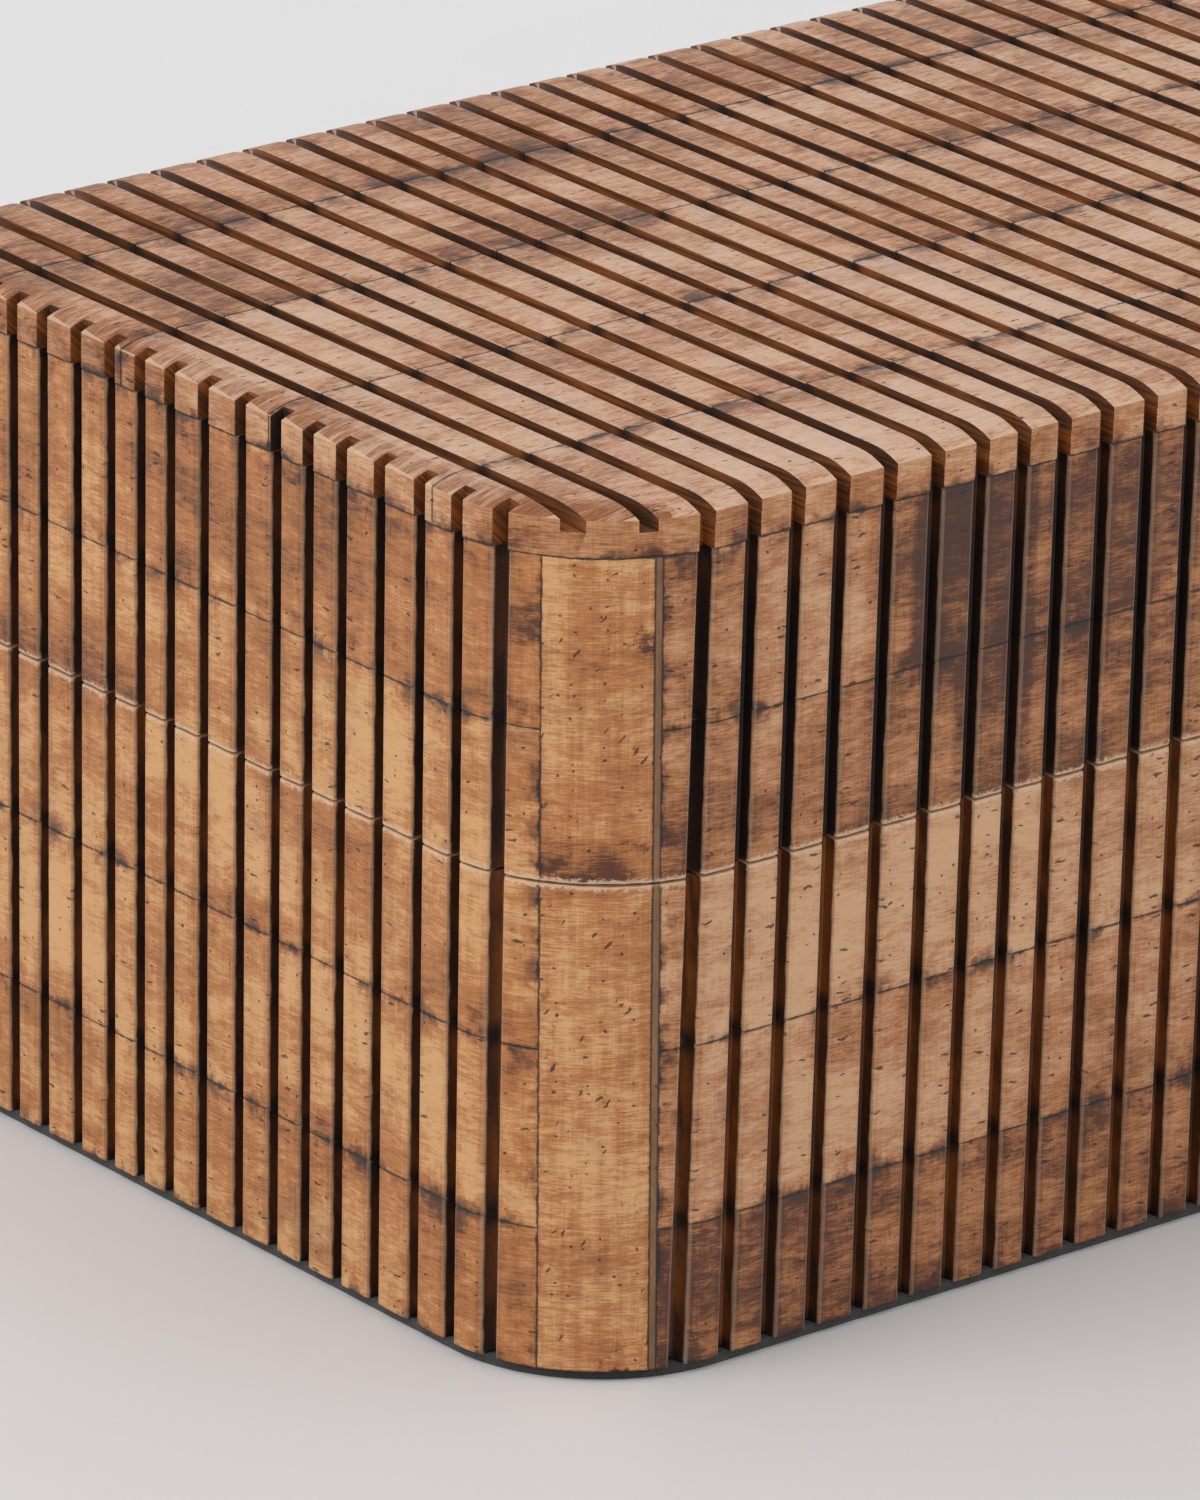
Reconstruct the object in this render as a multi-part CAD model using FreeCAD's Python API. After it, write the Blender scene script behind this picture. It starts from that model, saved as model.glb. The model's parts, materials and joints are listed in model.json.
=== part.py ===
import FreeCAD, Part
import math
import os

# Lidded box clad in grooved tiles. Lengths are in millimetres, angles in degrees.
# +X runs along the front, +Y goes from the front to the back, +Z is up.
# The origin is the centre of the face that the box rests on.

# Whole box
box_length = 251.0
box_depth = 131.0
box_height = 101.6
corner_radius = 21.1
seam_height = 58.7
seam_gap = 0.3

# Cladding
side_tile_thickness = 4.0
top_tile_thickness = 5.3
top_edge_drop = 1.0
top_edge_reach = 4.5
front_wrap_length = 7.7
end_wrap_length = 12.1
corner_strip_width = 0.85
base_joint_heights = (17.9, 39.0)
lid_joint_heights = (76.3,)
top_joint_offsets = (24.5, 54.0, 81.5, 108.0)

# Grooves
groove_pitch = 6.2
end_groove_pitch = 6.31
groove_width = 1.95
groove_depth = 2.0
top_groove_depth = 2.4
groove_land = 1.4
front_groove_start = 16.1
end_groove_start = 12.1
# how far a saw cut slides sideways: up the front, up an end, and across the top from front to back
front_groove_lean = 2.7
end_groove_lean = -1.2
top_groove_skew = 2.05
# each swell is the size, the period in grooves and the phase of a slow drift of the saw cuts
long_swells = ((0.69, 17.9, -0.67), (0.33, 5.38, 1.22))
end_swells = ((4.44, 50.6, 0.72), (0.48, 4.71, 2.65))

# Carcass
wall_thickness = 8.0
floor_thickness = 6.0
lid_board_thickness = 6.0

# Soft pads
underside_thickness = 1.2
underside_inset = 0.8
lining_thickness = 1.5
lining_clearance = 0.3

# Hinges at the back
opening_angle = 95.0
axis_inset = 3.0
hinge_end_distance = 55.5
leaf_width = 32.0
leaf_thickness = 1.2
leaf_reach = 8.2
leaf_clearance = 0.1
barrel_radius = 2.2
barrel_clearance = 0.3
knuckle_count = 5
knuckle_gap = 0.2
pin_radius = 1.0
pin_running_clearance = 0.04
pin_end_stand = 0.4
pin_end_chamfer = 0.25

# Hinge screws
screws_per_leaf = 3
screw_spacing = 11.0
screw_radius = 0.9
screw_length = 9.0
screw_tip_length = 2.0
screw_head_radius = 1.8
screw_head_height = 1.0
screw_clearance = 0.05
screw_slot_width = 0.5
screw_slot_depth = 0.4

# Distances past a surface, so that a cutting solid goes right through it
cut_margin = 1.0

# Sizes that follow
half_length = box_length / 2
half_depth = box_depth / 2
carcass_radius = corner_radius - side_tile_thickness
room_radius = carcass_radius - wall_thickness
side_bottom = underside_thickness
side_top = box_height - top_tile_thickness
base_rim = seam_height - seam_gap / 2
lid_rim = seam_height + seam_gap / 2
floor_top = side_bottom + floor_thickness
ceiling = side_top - lid_board_thickness
axis_y = half_depth - axis_inset

QUARTER = 90.0
FACE_NORMALS = {"front": 270.0, "right": 0.0, "back": 90.0, "left": 180.0}
CORNER_ANGLES = {"front_left": 225.0, "front_right": 315.0, "back_right": 45.0, "back_left": 135.0}


def arc_degrees(length):
    """Angle that a length along the outer corner surface spans."""
    return math.degrees(length / corner_radius)


front_wrap = arc_degrees(front_wrap_length)
end_wrap = arc_degrees(end_wrap_length)
strip_span = arc_degrees(corner_strip_width)
FACE_WRAPS = {"front": front_wrap, "back": front_wrap, "left": end_wrap, "right": end_wrap}


def ray(angle, radius, centre=(0.0, 0.0)):
    """Point at a radius from a centre, in the XY plane."""
    turn = math.radians(angle)
    return FreeCAD.Vector(centre[0] + radius * math.cos(turn), centre[1] + radius * math.sin(turn), 0)


def corner_centre(angle):
    """Centre of the vertical corner that faces the angle."""
    side_x = math.copysign(half_length - corner_radius, math.cos(math.radians(angle)))
    side_y = math.copysign(half_depth - corner_radius, math.sin(math.radians(angle)))
    return side_x, side_y


def arc(centre, radius, start, end):
    """Arc round a centre from one angle to another."""
    middle = (start + end) / 2
    return Part.Arc(ray(start, radius, centre), ray(middle, radius, centre), ray(end, radius, centre)).toShape()


def line(start, end):
    return Part.LineSegment(start, end).toShape()


def prism(edges, low, high):
    """Upright solid from a closed loop of edges in the XY plane."""
    face = Part.Face(Part.Wire(edges))
    face.translate(FreeCAD.Vector(0, 0, low))
    return face.extrude(FreeCAD.Vector(0, 0, high - low))


def block(low, high):
    """Box between two opposite corners."""
    size = [high[axis] - low[axis] for axis in range(3)]
    return Part.makeBox(size[0], size[1], size[2], FreeCAD.Vector(*low))


def rounded_slab(inset, low, high):
    """The box's outline, set in by a distance, as a slab."""
    radius = corner_radius - inset
    edges = []
    for angle in sorted(CORNER_ANGLES.values()):
        centre = corner_centre(angle)
        following = corner_centre(angle + QUARTER)
        edges.append(arc(centre, radius, angle - QUARTER / 2, angle + QUARTER / 2))
        edges.append(line(ray(angle + QUARTER / 2, radius, centre), ray(angle + QUARTER / 2, radius, following)))
    return prism(edges, low, high)


def face_band(face, low, high):
    """Cladding of one face, with both ends bent round the corners."""
    normal = FACE_NORMALS[face]
    wrap = FACE_WRAPS[face]
    first = corner_centre(normal - QUARTER / 2)
    last = corner_centre(normal + QUARTER / 2)
    outer = corner_radius
    inner = carcass_radius
    edges = [
        arc(first, outer, normal - wrap, normal),
        line(ray(normal, outer, first), ray(normal, outer, last)),
        arc(last, outer, normal, normal + wrap),
        line(ray(normal + wrap, outer, last), ray(normal + wrap, inner, last)),
        arc(last, inner, normal + wrap, normal),
        line(ray(normal, inner, last), ray(normal, inner, first)),
        arc(first, inner, normal, normal - wrap),
        line(ray(normal - wrap, inner, first), ray(normal - wrap, outer, first)),
    ]
    return prism(edges, low, high)


def corner_band(angle, start, end, low, high):
    """Part of the cladding on one corner, between two angles."""
    centre = corner_centre(angle)
    edges = [
        arc(centre, corner_radius, start, end),
        line(ray(end, corner_radius, centre), ray(end, carcass_radius, centre)),
        arc(centre, carcass_radius, end, start),
        line(ray(start, carcass_radius, centre), ray(start, corner_radius, centre)),
    ]
    return prism(edges, low, high)


def drift(index, swells):
    """How far a groove lies from its even place."""
    return sum(size * math.sin(2 * math.pi * index / period + phase) for size, period, phase in swells)


def groove_places(start, length, edge, pitch, swells, slide):
    """Groove centres along a face, before they slide, from an index that may be negative, clear of both ends."""
    places = []
    reach = edge + groove_land + groove_width / 2
    steps = int(length / pitch) + 1
    for index in range(-steps, steps):
        place = start + index * pitch + drift(index, swells)
        if reach <= min(place, place + slide) and max(place, place + slide) <= length - reach:
            places.append(place)
    return places


def wrap_setback(wrap):
    """Distance from the box's outer plane to the end of a face's cladding, along that face."""
    return corner_radius * (1 - math.sin(math.radians(wrap)))


def surface_drop(place, length):
    """How far the rounded outline lies behind the flat face at a place along that face."""
    into_corner = corner_radius - min(place, length - place)
    if into_corner <= 0:
        return 0.0
    return corner_radius - math.sqrt(corner_radius ** 2 - into_corner ** 2)


top_grooves = groove_places(front_groove_start + front_groove_lean, box_length, 0.0, groove_pitch,
                            long_swells, top_groove_skew)
front_grooves = groove_places(front_groove_start, box_length, wrap_setback(front_wrap), groove_pitch,
                              long_swells, front_groove_lean)
back_grooves = groove_places(front_groove_start + top_groove_skew, box_length, wrap_setback(front_wrap),
                             groove_pitch, long_swells, front_groove_lean)
end_grooves = groove_places(end_groove_start, box_depth, wrap_setback(end_wrap), end_groove_pitch,
                            end_swells, end_groove_lean)


def leaning_cut(corners, slide):
    """Cut over the full height, whose outline slides sideways as it rises past the box."""
    rise = box_height + 2 * cut_margin
    start = FreeCAD.Vector(0, 0, -cut_margin) - slide * (cut_margin / box_height)
    points = [corner + start for corner in corners]
    face = Part.Face(Part.makePolygon(points + points[:1]))
    return face.extrude(slide * (rise / box_height) + FreeCAD.Vector(0, 0, rise))


def long_face_cuts(side):
    """Saw cuts down the front (side -1) or the back (side +1)."""
    cuts = []
    for place in front_grooves if side < 0 else back_grooves:
        middle = place - half_length
        drop = surface_drop(place, box_length)
        gain = drop - surface_drop(place + front_groove_lean, box_length)
        floor = side * (half_depth - groove_depth - drop)
        reach = side * (half_depth + cut_margin)
        corners = [
            FreeCAD.Vector(middle - groove_width / 2, floor, 0),
            FreeCAD.Vector(middle + groove_width / 2, floor, 0),
            FreeCAD.Vector(middle + groove_width / 2, reach, 0),
            FreeCAD.Vector(middle - groove_width / 2, reach, 0),
        ]
        cuts.append(leaning_cut(corners, FreeCAD.Vector(front_groove_lean, side * gain, 0)))
    return cuts


def end_face_cuts(side):
    """Saw cuts down the left end (side -1) or the right end (side +1)."""
    cuts = []
    for place in end_grooves:
        middle = place - half_depth
        drop = surface_drop(place, box_depth)
        gain = drop - surface_drop(place + end_groove_lean, box_depth)
        floor = side * (half_length - groove_depth - drop)
        reach = side * (half_length + cut_margin)
        corners = [
            FreeCAD.Vector(floor, middle - groove_width / 2, 0),
            FreeCAD.Vector(reach, middle - groove_width / 2, 0),
            FreeCAD.Vector(reach, middle + groove_width / 2, 0),
            FreeCAD.Vector(floor, middle + groove_width / 2, 0),
        ]
        cuts.append(leaning_cut(corners, FreeCAD.Vector(side * gain, end_groove_lean, 0)))
    return cuts


def top_face_cuts():
    """Saw cuts across the top."""
    cuts = []
    past = top_groove_skew * cut_margin / box_depth
    level = box_height - top_groove_depth
    for place in top_grooves:
        front_x = place - half_length - past
        back_x = place - half_length + top_groove_skew + past
        points = [
            FreeCAD.Vector(front_x - groove_width / 2, -half_depth - cut_margin, level),
            FreeCAD.Vector(front_x + groove_width / 2, -half_depth - cut_margin, level),
            FreeCAD.Vector(back_x + groove_width / 2, half_depth + cut_margin, level),
            FreeCAD.Vector(back_x - groove_width / 2, half_depth + cut_margin, level),
        ]
        face = Part.Face(Part.makePolygon(points + points[:1]))
        cuts.append(face.extrude(FreeCAD.Vector(0, 0, top_groove_depth + cut_margin)))
    return cuts


def back_bevel():
    """Wedge along the back of the seam: its two faces meet the hinge axis and stop the open lid."""
    reach = axis_inset + cut_margin
    rise = reach * math.tan(math.radians(opening_angle / 2))
    points = [
        FreeCAD.Vector(0, axis_y, base_rim),
        FreeCAD.Vector(0, axis_y + reach, base_rim - rise),
        FreeCAD.Vector(0, axis_y + reach, lid_rim + rise),
        FreeCAD.Vector(0, axis_y, lid_rim),
    ]
    wire = Part.makePolygon(points + points[:1])
    wedge = Part.Face(wire).extrude(FreeCAD.Vector(box_length, 0, 0))
    wedge.translate(FreeCAD.Vector(-half_length, 0, 0))
    return wedge


def hinge_places():
    middle = half_length - hinge_end_distance
    return (-middle, middle)


def barrel_pocket(middle):
    """Round clearance for one hinge's barrel."""
    half_width = leaf_width / 2 + pin_end_stand + barrel_clearance
    return Part.makeCylinder(barrel_radius + barrel_clearance, 2 * half_width,
                             FreeCAD.Vector(middle - half_width, axis_y, seam_height),
                             FreeCAD.Vector(1, 0, 0))


def leaf_pocket(middle, part_side):
    """Shallow recess for one hinge leaf, in the base's rim (-1) or the lid's rim (+1)."""
    rim = seam_height + part_side * seam_gap / 2
    low_z, high_z = sorted((rim + part_side * leaf_thickness, seam_height))
    half_width = leaf_width / 2 + leaf_clearance
    return block((middle - half_width, axis_y - leaf_reach - leaf_clearance, low_z),
                 (middle + half_width, axis_y + barrel_clearance, high_z))


def screw_places(middle):
    """X of each screw of one leaf."""
    first = middle - screw_spacing * (screws_per_leaf - 1) / 2
    return [first + index * screw_spacing for index in range(screws_per_leaf)]


screw_row_y = axis_y - (barrel_radius + barrel_clearance + leaf_reach) / 2


def screw_body(extra):
    """Countersunk screw pointing down, with the top of its head at the origin, grown by a clearance."""
    head = Part.makeCone(screw_radius + extra, screw_head_radius + extra, screw_head_height,
                         FreeCAD.Vector(0, 0, -screw_head_height))
    shank_length = screw_length - screw_head_height - screw_tip_length
    shank = Part.makeCylinder(screw_radius + extra, shank_length,
                              FreeCAD.Vector(0, 0, -screw_head_height - shank_length))
    tip = Part.makeCone(extra, screw_radius + extra, screw_tip_length + extra,
                        FreeCAD.Vector(0, 0, -screw_length - extra))
    return head.fuse([shank, tip]).removeSplitter()


def placed_screw(shape, x, part_side):
    """Put a screw, or the hole for one, in the base's rim (-1) or the lid's rim (+1)."""
    placed = shape.copy()
    if part_side > 0:
        placed.rotate(FreeCAD.Vector(0, 0, 0), FreeCAD.Vector(1, 0, 0), 180)
    rim = seam_height + part_side * (seam_gap / 2 + screw_clearance)
    placed.translate(FreeCAD.Vector(x, screw_row_y, rim))
    return placed


def screw_holes(part_side):
    hole = screw_body(screw_clearance)
    return [placed_screw(hole, x, part_side) for middle in hinge_places() for x in screw_places(middle)]


def hinge_cuts(part_side):
    """All that the two hinges take out of one half of the box."""
    cuts = [back_bevel()]
    for middle in hinge_places():
        cuts.append(barrel_pocket(middle))
        cuts.append(leaf_pocket(middle, part_side))
    return cuts + screw_holes(part_side)


def touches(shape, cut):
    return shape.BoundBox.intersect(cut.BoundBox)


def cut_away(shape, cuts):
    """Take away the cuts that reach the shape."""
    near = [cut for cut in cuts if touches(shape, cut)]
    if not near:
        return shape
    return shape.cut(near)


def side_courses(prefix, low, high, joints, part_side):
    """Grooved cladding of the four faces of the base or the lid, in courses one above the other."""
    cuts_by_face = {
        "front": long_face_cuts(-1),
        "back": long_face_cuts(+1) + hinge_cuts(part_side),
        "left": end_face_cuts(-1),
        "right": end_face_cuts(+1),
    }
    levels = (low,) + tuple(joints) + (high,)
    pieces = {}
    for face, cuts in cuts_by_face.items():
        for course in range(len(levels) - 1):
            band = face_band(face, levels[course], levels[course + 1])
            pieces[f"{prefix}_{face}_course_{course + 1}"] = cut_away(band, cuts)
    return pieces


def corner_cladding(prefix, low, high):
    """Plain curved tile on each corner, and the thin strip between it and the front or back cladding."""
    pieces = {}
    strips = []
    bevel = [back_bevel()]
    for corner, angle in CORNER_ANGLES.items():
        long_face = "front" if corner.startswith("front") else "back"
        normal = FACE_NORMALS[long_face]
        away = 1 if angle > normal else -1
        strip_start = normal + away * front_wrap
        tile_start = strip_start + away * strip_span
        tile_end = normal + away * (QUARTER - end_wrap)
        tile = corner_band(angle, *sorted((tile_start, tile_end)), low, high)
        strip = corner_band(angle, *sorted((strip_start, tile_start)), low, high)
        pieces[f"{prefix}_corner_tile_{corner}"] = cut_away(tile, bevel)
        strips.append(cut_away(strip, bevel))
    pieces[f"{prefix}_corner_strips"] = Part.makeCompound(strips)
    return pieces


def domed_slab():
    """Top cladding before it is cut: flat, but falling away in a shallow curve to a crisp outer edge."""
    curve = (top_edge_reach ** 2 + top_edge_drop ** 2) / (2 * top_edge_drop)
    blank = rounded_slab(top_edge_reach - curve, box_height - curve - cut_margin, box_height)
    rim_edges = [edge for edge in blank.Edges if edge.BoundBox.ZMin > box_height - cut_margin]
    dome = blank.makeFillet(curve, rim_edges)
    return rounded_slab(0.0, side_top, box_height).common(dome)


def top_strips():
    """Top cladding in long strips, grooved across."""
    slab = domed_slab()
    cuts = top_face_cuts() + long_face_cuts(-1) + long_face_cuts(+1) + end_face_cuts(-1) + end_face_cuts(+1)
    levels = (0.0,) + top_joint_offsets + (box_depth,)
    pieces = {}
    for row in range(len(levels) - 1):
        region = block((-half_length, levels[row] - half_depth, side_top),
                       (half_length, levels[row + 1] - half_depth, box_height))
        pieces[f"lid_top_strip_{row + 1}"] = cut_away(slab.common(region), cuts)
    return pieces


def wall_boards(prefix, low, high, part_side):
    """Four straight boards between the corner blocks."""
    outer_x = half_length - side_tile_thickness
    outer_y = half_depth - side_tile_thickness
    inner_x = outer_x - wall_thickness
    inner_y = outer_y - wall_thickness
    end_x = half_length - corner_radius
    end_y = half_depth - corner_radius
    back = block((-end_x, inner_y, low), (end_x, outer_y, high))
    return {
        f"{prefix}_wall_front": block((-end_x, -outer_y, low), (end_x, -inner_y, high)),
        f"{prefix}_wall_back": cut_away(back, hinge_cuts(part_side)),
        f"{prefix}_wall_left": block((-outer_x, -end_y, low), (-inner_x, end_y, high)),
        f"{prefix}_wall_right": block((inner_x, -end_y, low), (outer_x, end_y, high)),
    }


def corner_blocks(prefix, low, high):
    """Round-backed blocks that join the wall boards, flat across the inside corner."""
    blocks = []
    for angle in CORNER_ANGLES.values():
        centre = corner_centre(angle)
        start = angle - QUARTER / 2
        end = angle + QUARTER / 2
        edges = [
            arc(centre, carcass_radius, start, end),
            line(ray(end, carcass_radius, centre), ray(end, room_radius, centre)),
            line(ray(end, room_radius, centre), ray(start, room_radius, centre)),
            line(ray(start, room_radius, centre), ray(start, carcass_radius, centre)),
        ]
        blocks.append(prism(edges, low, high))
    return {f"{prefix}_corner_blocks": Part.makeCompound(blocks)}


def lining_pad(low, high):
    """Felt that fills the eight-sided room between the walls and the corner blocks."""
    inset = lining_clearance
    reach_x = half_length - side_tile_thickness - wall_thickness - inset
    reach_y = half_depth - side_tile_thickness - wall_thickness - inset
    pad = block((-reach_x, -reach_y, low), (reach_x, reach_y, high))
    blocks = corner_blocks("pad", low - cut_margin, high + cut_margin)["pad_corner_blocks"]
    grown = []
    for solid, angle in zip(blocks.Solids, CORNER_ANGLES.values()):
        shifted = solid.copy()
        shifted.translate(ray(angle + 2 * QUARTER, inset * math.sqrt(2)))
        grown.append(shifted)
    return pad.cut(grown)


def knuckle_spans(middle, part_side):
    """Start and end of each knuckle of one leaf: the base's leaf has the odd ones, so it has one more."""
    width = leaf_width / knuckle_count
    first = 0 if part_side < 0 else 1
    spans = []
    for index in range(first, knuckle_count, 2):
        start = middle - leaf_width / 2 + index * width
        left = start + (knuckle_gap / 2 if index > 0 else 0.0)
        right = start + width - (knuckle_gap / 2 if index < knuckle_count - 1 else 0.0)
        spans.append((left, right))
    return spans


def hinge_leaf(middle, part_side):
    """One brass leaf with its knuckles, let into the base's rim (-1) or the lid's rim (+1)."""
    along = FreeCAD.Vector(1, 0, 0)
    rim = seam_height + part_side * seam_gap / 2
    low_z, high_z = sorted((rim, rim + part_side * leaf_thickness))
    leaf = block((middle - leaf_width / 2, axis_y - leaf_reach, low_z), (middle + leaf_width / 2, axis_y, high_z))
    clear = barrel_radius + barrel_clearance
    for start, end in knuckle_spans(middle, -part_side):
        notch = block((start - knuckle_gap, axis_y - clear, low_z - cut_margin),
                      (end + knuckle_gap, axis_y + cut_margin, high_z + cut_margin))
        leaf = leaf.cut(notch)
    knuckles = [Part.makeCylinder(barrel_radius, end - start, FreeCAD.Vector(start, axis_y, seam_height), along)
                for start, end in knuckle_spans(middle, part_side)]
    bore = Part.makeCylinder(pin_radius + pin_running_clearance, leaf_width + 2 * cut_margin,
                             FreeCAD.Vector(middle - leaf_width / 2 - cut_margin, axis_y, seam_height), along)
    holes = [placed_screw(screw_body(screw_clearance), x, part_side) for x in screw_places(middle)]
    return leaf.fuse(knuckles).removeSplitter().cut([bore] + holes)


def hinge_pin(middle):
    """Pin through all the knuckles of one hinge, with a small chamfer at each end."""
    length = leaf_width + 2 * pin_end_stand
    pin = Part.makeCylinder(pin_radius, length, FreeCAD.Vector(middle - length / 2, axis_y, seam_height),
                            FreeCAD.Vector(1, 0, 0))
    ends = [edge for edge in pin.Edges if edge.Closed]
    return pin.makeChamfer(pin_end_chamfer, ends)


def hinge_screws(part_side):
    """The screws of both leaves on one half of the box."""
    slot = block((-screw_head_radius - cut_margin, -screw_slot_width / 2, -screw_slot_depth),
                 (screw_head_radius + cut_margin, screw_slot_width / 2, cut_margin))
    screw = screw_body(0.0).cut(slot)
    screws = [placed_screw(screw, x, part_side) for middle in hinge_places() for x in screw_places(middle)]
    return Part.makeCompound(screws)


def hinge_pieces():
    pieces = {}
    for side, middle in zip(("left", "right"), hinge_places()):
        pieces[f"hinge_lower_leaf_{side}"] = hinge_leaf(middle, -1)
        pieces[f"hinge_upper_leaf_{side}"] = hinge_leaf(middle, +1)
        pieces[f"hinge_pin_{side}"] = hinge_pin(middle)
    pieces["hinge_lower_screws"] = hinge_screws(-1)
    pieces["hinge_upper_screws"] = hinge_screws(+1)
    return pieces


def base_pieces():
    pieces = {"base_floor": rounded_slab(side_tile_thickness, side_bottom, floor_top)}
    pieces.update(wall_boards("base", floor_top, base_rim, -1))
    pieces.update(corner_blocks("base", floor_top, base_rim))
    pieces.update(side_courses("base", side_bottom, base_rim, base_joint_heights, -1))
    pieces.update(corner_cladding("base", side_bottom, base_rim))
    pieces["base_underside"] = rounded_slab(underside_inset, 0.0, underside_thickness)
    pieces["base_lining"] = lining_pad(floor_top, floor_top + lining_thickness)
    return pieces


def lid_pieces():
    pieces = {"lid_board": rounded_slab(side_tile_thickness, ceiling, side_top)}
    pieces.update(wall_boards("lid", lid_rim, ceiling, +1))
    pieces.update(corner_blocks("lid", lid_rim, ceiling))
    pieces.update(side_courses("lid", lid_rim, side_top, lid_joint_heights, +1))
    pieces.update(corner_cladding("lid", lid_rim, side_top))
    pieces.update(top_strips())
    pieces["lid_lining"] = lining_pad(ceiling - lining_thickness, ceiling)
    return pieces


def main():
    os.makedirs("parts", exist_ok=True)
    pieces = {**base_pieces(), **lid_pieces(), **hinge_pieces()}
    for node, shape in pieces.items():
        shape.exportStep(f"parts/{node}.step")
    print(len(pieces), "nodes written")


main()
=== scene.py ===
import json
import math
import random
from collections import namedtuple

import bmesh
import bpy
from mathutils import Matrix, Vector


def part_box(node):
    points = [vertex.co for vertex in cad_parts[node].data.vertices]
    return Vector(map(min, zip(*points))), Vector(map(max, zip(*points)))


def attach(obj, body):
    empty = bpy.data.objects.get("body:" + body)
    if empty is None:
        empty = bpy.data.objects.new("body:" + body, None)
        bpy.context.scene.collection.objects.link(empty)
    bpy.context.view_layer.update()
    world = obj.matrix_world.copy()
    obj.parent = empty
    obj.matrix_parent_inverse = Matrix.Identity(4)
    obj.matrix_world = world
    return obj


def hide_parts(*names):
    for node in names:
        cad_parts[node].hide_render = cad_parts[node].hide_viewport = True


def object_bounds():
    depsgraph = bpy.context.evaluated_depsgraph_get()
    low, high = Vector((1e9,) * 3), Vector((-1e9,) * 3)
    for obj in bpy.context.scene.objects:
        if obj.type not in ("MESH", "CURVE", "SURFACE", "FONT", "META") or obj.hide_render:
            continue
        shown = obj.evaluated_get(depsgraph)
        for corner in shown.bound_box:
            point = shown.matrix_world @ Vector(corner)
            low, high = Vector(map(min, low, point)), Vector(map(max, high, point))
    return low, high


bl_info = {
    "name": "Grooved tile box",
    "version": (1, 0, 0),
    "blender": (4, 5, 0),
    "location": "3D View > Sidebar > Box",
    "description": "Dresses the box clad in grooved, browned bone tiles",
    "category": "Object",
}

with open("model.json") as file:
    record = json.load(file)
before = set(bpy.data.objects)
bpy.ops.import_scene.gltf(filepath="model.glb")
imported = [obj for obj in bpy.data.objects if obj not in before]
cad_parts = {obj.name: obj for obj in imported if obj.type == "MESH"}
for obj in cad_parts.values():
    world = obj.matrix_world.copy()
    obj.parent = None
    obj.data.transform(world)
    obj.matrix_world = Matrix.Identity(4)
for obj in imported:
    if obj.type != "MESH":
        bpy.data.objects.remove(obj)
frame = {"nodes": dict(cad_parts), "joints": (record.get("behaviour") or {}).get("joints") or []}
cad_low, cad_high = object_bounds()

# Sizes read off the frame, in metres
HALF_LENGTH = cad_high.x
HALF_DEPTH = cad_high.y
HEIGHT = cad_high.z
CORNER_RADIUS = HALF_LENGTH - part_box("base_wall_front")[1].x
TILE_THICKNESS = HALF_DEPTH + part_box("base_wall_front")[0].y
BASE_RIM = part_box("base_front_course_3")[1].z
LID_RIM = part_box("lid_front_course_1")[0].z
SEAM = (BASE_RIM + LID_RIM) / 2
TOP_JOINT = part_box("lid_board")[1].z
TOP_STRIPS = 5
TOP_STRIP_JOINTS = [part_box(f"lid_top_strip_{number}")[1].y for number in range(1, TOP_STRIPS)]
HINGE_AXIS = Vector(frame["joints"][0]["pos_m"])

MM = 0.001

# Distance that a plate stores where it has no saw cut, seam or joint to be near
FAR = 1.0

# Height over which the back plates draw away from the seam, along the hinge bevel
BEVEL_REACH = 5.0 * MM

# The top is a shallow dome: flat in the middle, falling along a curve to a crisp edge
DOME_REACH = 4.5 * MM
DOME_DROP = 1.0 * MM
DOME_CURVE = (DOME_REACH ** 2 + DOME_DROP ** 2) / (2 * DOME_DROP)
NEAR_CORNER = Vector((-HALF_LENGTH, -HALF_DEPTH, HEIGHT))

# Each upright face: outward normal, direction along it, half its span, distance from the middle
FACES = {
    "front": (Vector((0, -1, 0)), Vector((1, 0, 0)), HALF_LENGTH, HALF_DEPTH),
    "back": (Vector((0, 1, 0)), Vector((1, 0, 0)), HALF_LENGTH, HALF_DEPTH),
    "left": (Vector((-1, 0, 0)), Vector((0, 1, 0)), HALF_DEPTH, HALF_LENGTH),
    "right": (Vector((1, 0, 0)), Vector((0, 1, 0)), HALF_DEPTH, HALF_LENGTH),
}
CORNERS = {
    "front_left": (-1, -1),
    "front_right": (1, -1),
    "back_left": (-1, 1),
    "back_right": (1, 1),
}
COURSES = {"base": 3, "lid": 2}

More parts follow.
